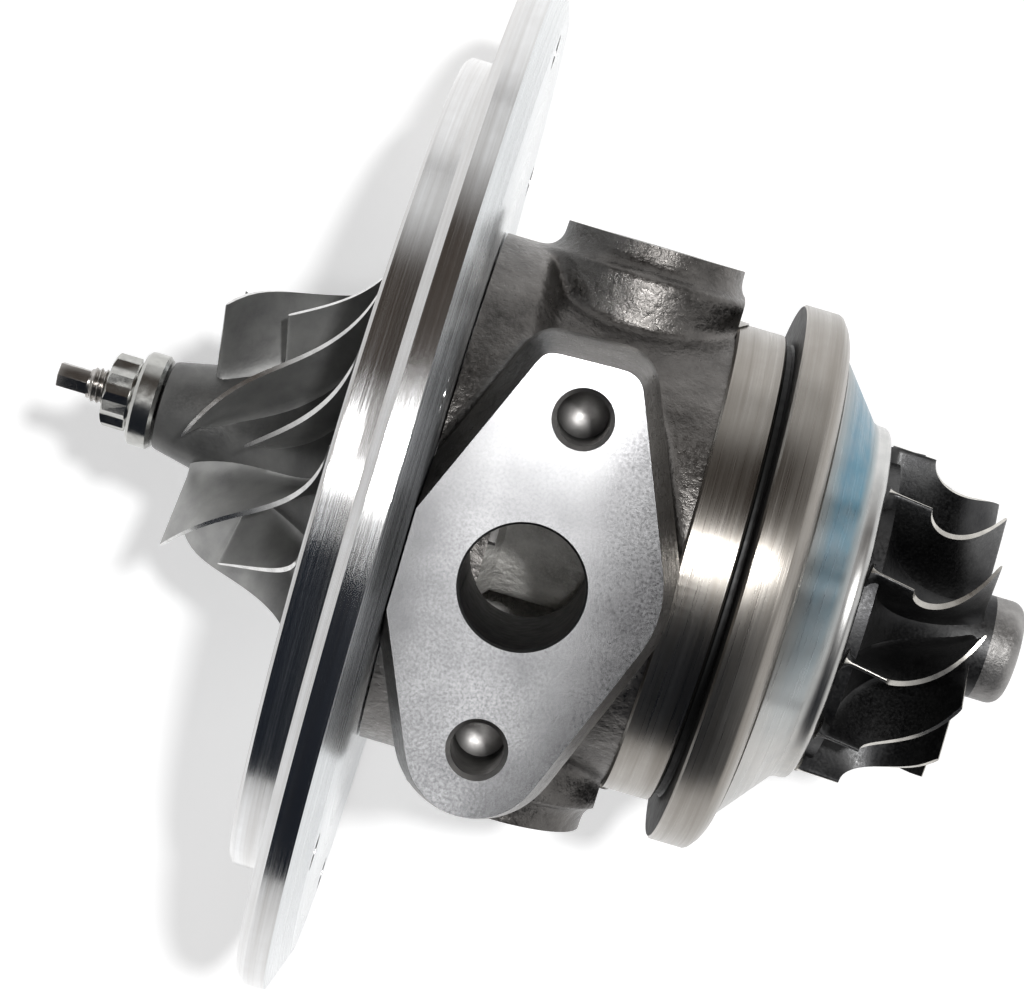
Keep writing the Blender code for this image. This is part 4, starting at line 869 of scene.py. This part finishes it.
def make_shield(material):
    """The pressed heat shield with rounded bends."""
    lip_start = SHIELD_FACE_X - SHIELD_LIP_WIDTH
    start = FIT_GAP + SHIELD_WALL - SEAT_RECESS_DEPTH
    points = [(SHIELD_FACE_X, SHIELD_HOLE_RADIUS)]
    bend = 0.0010
    for step in range(7):
        angle = pi / 2 * step / 6
        points.append((SHIELD_FACE_X - bend * (1 - cos(angle)),
                       SHIELD_LIP_RADIUS - bend * (1 - sin(angle))))
    cone_foot = (start + 0.0002, SHIELD_RIM_RADIUS - 0.0007)
    cone_top = (lip_start - 0.0005, SHIELD_LIP_RADIUS + 0.0008)
    for step in range(7):
        share = step / 6
        first = Vector((lip_start + 0.0012, SHIELD_LIP_RADIUS)).lerp(
            Vector((lip_start, SHIELD_LIP_RADIUS)), share)
        second = Vector((lip_start, SHIELD_LIP_RADIUS)).lerp(Vector(cone_top), share)
        points.append(tuple(first.lerp(second, share)))
    points += [cone_foot, (start, SHIELD_RIM_RADIUS)]
    shield = turned("pressed_shield", points, 160, material)
    wall = shield.modifiers.new("wall", 'SOLIDIFY')
    wall.thickness = SHIELD_WALL
    wall.offset = -1.0
    return smooth(bake(shield), 40)


def blade(name, surface, start, stations, spans, root, tip):
    """A closed blade about a mid-surface, with rounded ends and a foot that widens."""
    shape = bmesh.new()
    rows = []
    small = 0.001
    ends = [0.0, 0.004, 0.012, 0.03]
    marks = ends + [0.03 + 0.94 * step / stations for step in range(1, stations)]
    marks += [1.0 - mark for mark in reversed(ends)]
    for mark in marks:
        station = start + (1.0 - start) * mark
        edge = min(mark, 1.0 - mark)
        ease = sqrt(max(1.0 - (1.0 - min(edge / 0.03, 1.0)) ** 2, 0.0))
        row = []
        for level in range(spans + 1):
            span = level / spans
            before = max(station - small, start)
            after = min(station + small, 1.0)
            along = surface(after, span) - surface(before, span)
            across = surface(station, min(span + small, 1.0)) - surface(
                station, max(span - small, 0.0))
            normal = along.cross(across).normalized()
            fullness = 0.62 + 0.38 * sin(pi * min(mark * 1.15, 1.0)) ** 0.6
            foot = 0.0011 * max(0.0, 1.0 - span / 0.22) ** 2.5
            half = (root + (tip - root) * span) * fullness / 2 * (0.25 + 0.75 * ease)
            half += foot * (0.3 + 0.7 * ease)
            middle = surface(station, span)
            row.append((shape.verts.new(middle + normal * half),
                        shape.verts.new(middle - normal * half)))
        rows.append(row)
    for near, far in zip(rows, rows[1:]):
        for level in range(spans):
            for side in (0, 1):
                shape.faces.new((near[level][side], far[level][side],
                                 far[level + 1][side], near[level + 1][side]))
        for level in (0, spans):
            face = shape.faces.new((near[level][0], far[level][0],
                                    far[level][1], near[level][1]))
            face.material_index = 1
    for row in (rows[0], rows[-1]):
        for level in range(spans):
            face = shape.faces.new((row[level][0], row[level + 1][0],
                                    row[level + 1][1], row[level][1]))
            face.material_index = 1
    bmesh.ops.recalc_face_normals(shape, faces=shape.faces)
    mesh = bpy.data.meshes.new(name)
    shape.to_mesh(mesh)
    shape.free()
    return mesh


def wheel_point(x, radius, angle):
    y, z = around(radius, angle)
    return Vector((x, y, z))


def compressor_hub(turn):
    x = COMPRESSOR_INLET_X + (COMPRESSOR_EXIT_X - COMPRESSOR_INLET_X) * sin(turn)
    return x, COMPRESSOR_HUB_RADIUS + (COMPRESSOR_TIP_RADIUS - COMPRESSOR_HUB_RADIUS) * (
        1 - cos(turn))


def compressor_shroud(turn):
    start = COMPRESSOR_INLET_X - COMPRESSOR_INLET_LEAN
    end = COMPRESSOR_EXIT_X - COMPRESSOR_OUTLET_WIDTH
    return start + (end - start) * sin(turn), COMPRESSOR_INLET_RADIUS + (
        COMPRESSOR_TIP_RADIUS - COMPRESSOR_INLET_RADIUS) * (1 - cos(turn)) ** 1.25


def compressor_surface(phase):
    def point(station, span):
        turn = station * pi / 2
        hub_x, hub_radius = compressor_hub(turn)
        tip_x, tip_radius = compressor_shroud(turn)
        height = hypot(tip_x - hub_x, tip_radius - hub_radius)
        share = span + (span - 1) * BLADE_SINK / height
        radius = hub_radius + (tip_radius - hub_radius) * share
        radius = min(radius, COMPRESSOR_TIP_RADIUS - EDGE_SETBACK)
        sweep = COMPRESSOR_SWEEP * (1 - (1 - station) ** COMPRESSOR_SWEEP_POWER)
        angle = phase + sweep + COMPRESSOR_WRAP * station
        return wheel_point(hub_x + (tip_x - hub_x) * share, radius, angle)
    return point


def turbine_surface(phase):
    inner = TURBINE_HUB_RADIUS - BLADE_SINK

    def point(station, span):
        turn = station * pi / 2
        root_x = TURBINE_BACK_X + EDGE_SETBACK + (TURBINE_EXIT_X - TURBINE_BACK_X) * (
            1 - cos(turn))
        root_radius = inner + (TURBINE_TIP_RADIUS - inner) * (1 - sin(turn))
        tip_start = TURBINE_BACK_X + TURBINE_INLET_WIDTH
        tip_end = TURBINE_EXIT_X - TURBINE_EXIT_LEAN
        tip_x = tip_start + (tip_end - tip_start) * (1 - cos(turn))
        tip_radius = TURBINE_EXIT_RADIUS + (TURBINE_TIP_RADIUS - TURBINE_EXIT_RADIUS) * (
            1 - sin(turn)) ** 1.2
        swing = TURBINE_EXIT_TURN * station ** TURBINE_EXIT_POWER
        swing -= TURBINE_DIP * sin(pi * station) + TURBINE_SLANT * span * (1 - station)
        return wheel_point(root_x + (tip_x - root_x) * span,
                           root_radius + (tip_radius - root_radius) * span, phase + swing)
    return point


def blades_on(wheel, meshes, materials, hub_x):
    """Unite blades with their wheel, whose own faces beyond hub_x take the third material."""
    for mesh in (wheel.data, *meshes):
        for material in materials:
            mesh.materials.append(material)
    for face in wheel.data.polygons:
        face.material_index = 2 if face.center.x > hub_x else 0
    carve(wheel, [new_piece("blade", mesh) for mesh in meshes], 'UNION')
    return smooth(wheel, 35)


def make_compressor_wheel(*materials):
    profile = [(COMPRESSOR_BACK_X, COMPRESSOR_TIP_RADIUS)]
    for step in range(24, -1, -1):
        profile.append(compressor_hub(step / 24 * pi / 2))
    profile += [
        (COMPRESSOR_NOSE_X + 0.0007, COMPRESSOR_NOSE_RADIUS),
        (COMPRESSOR_NOSE_X + 0.0002, COMPRESSOR_NOSE_RADIUS - 0.0002),
        (COMPRESSOR_NOSE_X, COMPRESSOR_NOSE_RADIUS - 0.0007),
        (COMPRESSOR_NOSE_X, WHEEL_BORE_RADIUS),
        (COMPRESSOR_BACK_X, WHEEL_BORE_RADIUS),
    ]
    wheel = turned("compressor_impeller", profile, 160, ring=True)
    meshes = []
    pitch = 2 * pi / COMPRESSOR_BLADES
    for index in range(COMPRESSOR_BLADES):
        phase = COMPRESSOR_PHASE + index * pitch
        meshes.append(blade("full_blade", compressor_surface(phase), 0.0, 28, 12, 0.0013, 0.0007))
        meshes.append(blade("splitter_blade", compressor_surface(phase + pitch / 2),
                            SPLITTER_START, 20, 12, 0.0013, 0.0007))
    return blades_on(wheel, meshes, materials, COMPRESSOR_NOSE_X - 0.001)


def make_turbine_wheel(*materials):
    tip = TURBINE_EXIT_X + TURBINE_NOSE_LENGTH
    round_size = 0.0020
    profile = [(tip, 0.0)]
    for step in range(9):
        angle = pi / 2 * step / 8
        profile.append((tip - round_size * (1 - cos(angle)),
                        TURBINE_HUB_RADIUS - round_size * (1 - sin(angle))))
    nose_x = TURBINE_EXIT_X + 2 * TURBINE_EXIT_LEAN
    profile.append((nose_x, TURBINE_HUB_RADIUS))
    start_x = TURBINE_BACK_X + TURBINE_BACK_RIM
    for step in range(21):
        turn = pi / 2 * (1 - step / 20)
        profile.append((start_x + (TURBINE_EXIT_X - start_x) * (1 - cos(turn)),
                        TURBINE_HUB_RADIUS + (TURBINE_BACK_RADIUS - TURBINE_HUB_RADIUS) * (
                            1 - sin(turn))))
    profile += [(TURBINE_BACK_X, TURBINE_BACK_RADIUS), (TURBINE_BACK_X, 0.0)]
    wheel = turned("turbine_rotor", profile, 144)
    meshes = []
    for index in range(TURBINE_BLADES):
        phase = TURBINE_PHASE + 2 * pi * index / TURBINE_BLADES
        meshes.append(blade("turbine_blade", turbine_surface(phase), 0.0, 24, 12, 0.0014, 0.0008))
    return blades_on(wheel, meshes, materials, nose_x)


def make_nut(material):
    """The twelve-point flange nut."""
    flange_end = NUT_BACK_X - NUT_FLANGE_WIDTH
    neck_end = flange_end - NUT_NECK_WIDTH
    end = neck_end - NUT_POINTS_WIDTH
    profile = [
        (NUT_BACK_X, 0.0), (NUT_BACK_X, NUT_FLANGE_RADIUS), (flange_end, NUT_FLANGE_RADIUS),
        (flange_end, NUT_NECK_RADIUS), (neck_end - 0.0005, NUT_NECK_RADIUS),
        (neck_end - 0.0005, 0.0),
    ]
    nut = turned("flange_nut", eased(profile, 0.0005), 96)
    valley = NUT_POINTS_RADIUS * cos(radians(30)) / cos(radians(15))
    outline = []
    for index in range(12):
        outline.append(around(NUT_POINTS_RADIUS, radians(30) * index))
        outline.append(around(valley, radians(30) * index + radians(15)))
    points = loft("points", [[(x, y, z) for y, z in outline] for x in (neck_end, end)])
    envelope = turned("envelope", [
        (neck_end + 0.001, 0.0),
        (neck_end + 0.001, NUT_POINTS_RADIUS - 0.0006),
        (neck_end - 0.0006, NUT_POINTS_RADIUS + 0.0005),
        (end + 0.0006, NUT_POINTS_RADIUS + 0.0003),
        (end - 0.0002, NUT_POINTS_RADIUS - 0.0009),
        (end - 0.0002, 0.0),
    ], 96)
    carve(points, [envelope], 'INTERSECT')
    carve(nut, [points], 'UNION')
    bore = drill((end, 0, 0), (1, 0, 0), THREAD_RADIUS + FIT_GAP, NUT_BACK_X - end + 0.004,
                 0.0004, 48)
    carve(nut, [bore])
    nut.data.materials.clear()
    nut.data.materials.append(material)
    return smooth(nut)


def make_shaft(material):
    """The ground shaft up to the start of its thread."""
    profile = [
        (SHAFT_BACK_X, 0.0),
        (SHAFT_BACK_X, SEAL_BOSS_RADIUS),
        (SEAL_GROOVE_X + SEAL_GROOVE_HALF, SEAL_BOSS_RADIUS),
        (SEAL_GROOVE_X + SEAL_GROOVE_HALF, SEAL_GROOVE_RADIUS),
        (SEAL_GROOVE_X - SEAL_GROOVE_HALF, SEAL_GROOVE_RADIUS),
        (SEAL_GROOVE_X - SEAL_GROOVE_HALF, SEAL_BOSS_RADIUS),
        (SEAL_BOSS_START, SEAL_BOSS_RADIUS),
        (SEAL_BOSS_START, JOURNAL_RADIUS),
        (-0.0154, JOURNAL_RADIUS),
        (-0.0158, RELIEF_RADIUS),
        (-0.0282, RELIEF_RADIUS),
        (-0.0286, JOURNAL_RADIUS),
        (SHAFT_STEP_X, JOURNAL_RADIUS),
        (SHAFT_STEP_X, SEAT_SHAFT_RADIUS),
        (NUT_BACK_X + 0.0008, SEAT_SHAFT_RADIUS),
        (NUT_BACK_X + 0.0002, THREAD_RADIUS),
        (NUT_BACK_X - 0.0010, THREAD_RADIUS - 0.0006),
        (NUT_BACK_X - 0.0010, 0.0),
    ]
    return smooth(turned("ground_shaft", eased(profile, 0.0002), 96, material))


def make_thread(material):
    """The thread under and past the nut: one groove cut as a helix."""
    around_steps = 40
    rows_a_turn = 10
    start = NUT_BACK_X
    rows = int((start - THREAD_END_X) / THREAD_PITCH * rows_a_turn)
    shape = bmesh.new()
    loops = []
    for row in range(rows + 1):
        x = start + (THREAD_END_X - start) * row / rows
        fade = min(1.0, (rows - row) / rows_a_turn, row / rows_a_turn)
        loop = []
        for step in range(around_steps):
            angle = 2 * pi * step / around_steps
            phase = ((x - start) / THREAD_PITCH + step / around_steps) % 1.0
            depth = 0.00045 * abs(2.0 * phase - 1.0)
            end_cut = 0.0004 * (1.0 - min(1.0, (rows - row) / rows_a_turn))
            radius = THREAD_RADIUS - depth * (0.4 + 0.6 * fade) - end_cut
            loop.append(shape.verts.new((x, *around(radius, angle))))
        loops.append(loop)
    for near, far in zip(loops, loops[1:]):
        for step in range(around_steps):
            following = (step + 1) % around_steps
            shape.faces.new((near[step], near[following], far[following], far[step]))
    shape.faces.new(loops[0])
    shape.faces.new(reversed(loops[-1]))
    bmesh.ops.recalc_face_normals(shape, faces=shape.faces)
    mesh = bpy.data.meshes.new("shaft_thread")
    shape.to_mesh(mesh)
    shape.free()
    return smooth(new_piece("shaft_thread", mesh, material), 50)


def make_drive_end(material):
    """The hexagon on the end of the shaft, with broken edges."""
    outline = [around(DRIVE_ACROSS / sqrt(3), pi / 3 * index) for index in range(6)]
    start = THREAD_END_X + 0.0006
    hexagon = loft("drive_end", [[(x, y, z) for y, z in outline] for x in (start, DRIVE_END_X)])
    bevel = hexagon.modifiers.new("edges", 'BEVEL')
    bevel.width = 0.00015
    bevel.segments = 2
    bake(hexagon)
    hexagon.data.materials.append(material)
    return smooth(hexagon)


def paint_node(name, material):
    """Give a carried-over piece its material in every slot."""
    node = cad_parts[name]
    node.data.materials.clear()
    node.data.materials.append(material)


def seat(piece, body, node):
    """Let a piece ride on its body and stand for its node."""
    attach(piece, body)
    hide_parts(node)
    return piece


def make_floor():
    """A pale floor that stays near white and keeps the shadow."""
    shape = bmesh.new()
    bmesh.ops.create_grid(shape, x_segments=1, y_segments=1, size=3.0,
                          matrix=Matrix.Translation((0, 0, FLOOR_Z)))
    mesh = bpy.data.meshes.new("floor")
    shape.to_mesh(mesh)
    shape.free()
    material = bpy.data.materials.new("pale_floor")
    material.use_nodes = True
    tree = material.node_tree
    tree.nodes.clear()
    path = add(tree, "ShaderNodeLightPath")
    seen = add(tree, "ShaderNodeMath", {0: path.outputs["Is Camera Ray"],
                                        1: path.outputs["Is Glossy Ray"]}, operation='MAXIMUM')
    seen = add(tree, "ShaderNodeMath", {0: seen.outputs[0],
                                        1: path.outputs["Is Transmission Ray"]},
               operation='MAXIMUM')
    lift = add(tree, "ShaderNodeMath", {0: seen.outputs[0], 1: 0.34}, operation='MULTIPLY')
    matt = add(tree, "ShaderNodeBsdfDiffuse", {"Color": (0.93, 0.93, 0.93, 1.0)})
    glow = add(tree, "ShaderNodeEmission", {"Strength": lift.outputs[0]})
    both = add(tree, "ShaderNodeAddShader", {0: matt.outputs[0], 1: glow.outputs[0]})
    add(tree, "ShaderNodeOutputMaterial", {"Surface": both.outputs[0]})
    new_piece("floor", mesh, material)


def make_world():
    """Studio surroundings: pale at both ends of the shaft and low on one side, else dark."""
    world = bpy.data.worlds.new("studio")
    bpy.context.scene.world = world
    world.use_nodes = True
    tree = world.node_tree
    tree.nodes.clear()
    direction = add(tree, "ShaderNodeTexCoord").outputs["Generated"]
    split = add(tree, "ShaderNodeSeparateXYZ", {0: direction})
    side = levels(tree, split.outputs[1], -0.25, 0.25)
    dark = blend_colours(tree, side, (0.014, 0.017, 0.024), (0.070, 0.057, 0.048))
    low = levels(tree, split.outputs[2], 0.20, 0.50, 0.80, 0.0)
    low = add(tree, "ShaderNodeMath", {0: low, 1: side}, operation='MULTIPLY').outputs[0]
    walls = blend_colours(tree, low, dark, grey(1.0))
    along = add(tree, "ShaderNodeMath", {0: split.outputs[0]}, operation='ABSOLUTE').outputs[0]
    sky = blend_colours(tree, levels(tree, along, 0.40, 0.80), walls, grey(0.90))
    background = add(tree, "ShaderNodeBackground", {"Color": sky, "Strength": 1.0})
    add(tree, "ShaderNodeOutputWorld", {"Surface": background.outputs[0]})


def make_lamp(name, place, aim, width, length, power):
    data = bpy.data.lights.new(name, 'AREA')
    data.shape = 'ELLIPSE'
    data.size = width
    data.size_y = length
    data.energy = power
    lamp = bpy.data.objects.new(name, data)
    bpy.context.scene.collection.objects.link(lamp)
    lamp.location = place
    lamp.rotation_mode = 'QUATERNION'
    lamp.rotation_quaternion = (Vector(aim) - Vector(place)).to_track_quat('-Z', 'Y')


def make_camera():
    data = bpy.data.cameras.new("camera")
    data.lens = VIEW_LENS
    data.clip_start = 0.01
    data.clip_end = 20.0
    camera = bpy.data.objects.new("camera", data)
    bpy.context.scene.collection.objects.link(camera)
    back = Vector((0.0, sin(VIEW_TILT), cos(VIEW_TILT)))
    level_up = Vector((0.0, cos(VIEW_TILT), -sin(VIEW_TILT)))
    right = Vector((1.0, 0.0, 0.0)) * cos(VIEW_ROLL) + level_up * sin(VIEW_ROLL)
    up = back.cross(right)
    turn = Matrix((right, up, back)).transposed().to_4x4()
    camera.matrix_world = Matrix.Translation(VIEW_CENTRE + back * VIEW_DISTANCE) @ turn
    bpy.context.scene.camera = camera


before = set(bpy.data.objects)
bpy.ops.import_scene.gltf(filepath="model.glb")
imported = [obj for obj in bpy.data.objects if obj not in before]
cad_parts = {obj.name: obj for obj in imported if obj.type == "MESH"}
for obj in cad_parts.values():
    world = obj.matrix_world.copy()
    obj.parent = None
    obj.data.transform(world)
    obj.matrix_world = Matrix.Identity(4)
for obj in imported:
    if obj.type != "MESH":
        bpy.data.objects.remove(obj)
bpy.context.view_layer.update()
bpy.context.scene.view_settings.view_transform = 'Standard'

IRON_SKIN = cast_material("iron_skin", (0.045, 0.042, 0.040), (0.22, 0.21, 0.20), 0.36, 1.0,
                          0.00012)
# The cored chamber takes a far lighter copy of the cast iron: painted light, so the tube seen down
# the drain bore looks lit.
IRON_CORE_LIT = cast_material("iron_core_painted_light", (0.42, 0.41, 0.39), (0.90, 0.88, 0.84), 0.55, 1.5,
                          0.00030, 0.1)
IRON_TURNED = turned_material("iron_turned", (0.25, 0.23, 0.205), (0.39, 0.37, 0.345), 0.30,
                              0.00002)
IRON_MILLED = milled_material("iron_milled", (0.20, 0.20, 0.205), (0.40, 0.40, 0.405), 0.12)
IRON_BORED = plain_metal("iron_bored", (0.19, 0.185, 0.18), 0.36)
# The groove by the flange and the drain bore's wall take near-black iron: painted shade.
IRON_GROOVE_SHADE = plain_metal("iron_groove_painted_shade", (0.05, 0.05, 0.05), 0.5)
PLATE_FACE = turned_material("plate_face", (0.55, 0.57, 0.58), (0.74, 0.76, 0.78), 0.24, 0.00002)
PLATE_RIM = turned_material("plate_rim", (0.55, 0.54, 0.53), (0.80, 0.81, 0.82), 0.18, 0.00002)
SHIELD = shield_material()
TURBINE_SKIN = cast_material("turbine_skin", (0.030, 0.030, 0.032), (0.10, 0.10, 0.10), 0.45,
                             1.6, 0.00002)
TURBINE_EDGE = plain_metal("turbine_edge", (0.62, 0.60, 0.56), 0.28)
TURBINE_NOSE = cast_material("turbine_nose", (0.16, 0.155, 0.15), (0.42, 0.41, 0.40), 0.45,
                             2.0, 0.00006, 0.8)
# The last numbers darken the impeller towards its back by the backplate: painted shade in the gap
# there.
IMPELLER_SKIN = cast_material("impeller_skin", (0.27, 0.27, 0.27), (0.42, 0.42, 0.41), 0.46,
                              2.2, 0.000004, 0.75, (-0.069, -0.0605))
# The hub and nose take a darker copy of the impeller casting: painted shade between the blades.
IMPELLER_HUB_SHADED = cast_material("impeller_hub_painted_shade", (0.09, 0.09, 0.09), (0.17, 0.17, 0.165), 0.40,
                             2.2, 0.000004, 0.75, (-0.078, -0.0605))
IMPELLER_EDGE = plain_metal("impeller_edge", (0.75, 0.75, 0.74), 0.22)
SHAFT_STEEL = plain_metal("shaft_steel", (0.48, 0.46, 0.44), 0.22)
NUT_STEEL = plain_metal("nut_steel", (0.50, 0.50, 0.48), 0.20)
DARK_STEEL = plain_metal("dark_steel", (0.20, 0.20, 0.21), 0.38)
BRONZE = turned_material("bearing_bronze", (0.48, 0.28, 0.12), (0.66, 0.44, 0.20), 0.32, 0.00001)
RUBBER = rubber_material()

IRONS = (IRON_SKIN, IRON_TURNED, IRON_MILLED, IRON_BORED, IRON_GROOVE_SHADE, IRON_CORE_LIT)
seat(make_housing(IRONS), "housing", "bearing_housing")
seat(make_backplate(PLATE_FACE, PLATE_RIM), "housing", "compressor_backplate")
seat(make_shield(SHIELD), "housing", "heat_shield")
seat(make_turbine_wheel(TURBINE_SKIN, TURBINE_EDGE, TURBINE_NOSE), "rotor", "turbine_wheel")
seat(make_compressor_wheel(IMPELLER_SKIN, IMPELLER_EDGE, IMPELLER_HUB_SHADED), "rotor",
     "compressor_wheel")
seat(make_nut(NUT_STEEL), "rotor", "lock_nut")
seat(make_shaft(SHAFT_STEEL), "rotor", "shaft")
seat(make_thread(SHAFT_STEEL), "rotor", "shaft")
seat(make_drive_end(SHAFT_STEEL), "rotor", "shaft")

for node_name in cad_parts:
    if node_name.startswith(("bearing_ring", "backplate_screw", "thrust_pin")):
        paint_node(node_name, DARK_STEEL)
    elif node_name in ("oil_deflector", "compressor_seal_ring", "turbine_seal_ring"):
        paint_node(node_name, DARK_STEEL)
    elif node_name in ("thrust_bearing", "journal_bearing_compressor",
                       "journal_bearing_turbine"):
        paint_node(node_name, BRONZE)
    elif node_name in ("thrust_collar", "seal_spacer"):
        paint_node(node_name, SHAFT_STEEL)
    elif node_name == "backplate_o_ring":
        paint_node(node_name, RUBBER)

make_floor()
make_world()
make_lamp("key", (0.09, 0.20, 0.95), (-0.035, 0.0, 0.0), 0.05, 0.05, 5.0)
make_lamp("top", (-0.035, 0.03, 1.00), (-0.035, 0.0, 0.0), 0.06, 0.06, 0.85)
make_lamp("overhead", (-0.038, 0.10, 1.00), (-0.038, 0.0, 0.0), 0.085, 0.80, 0.50)
make_camera()
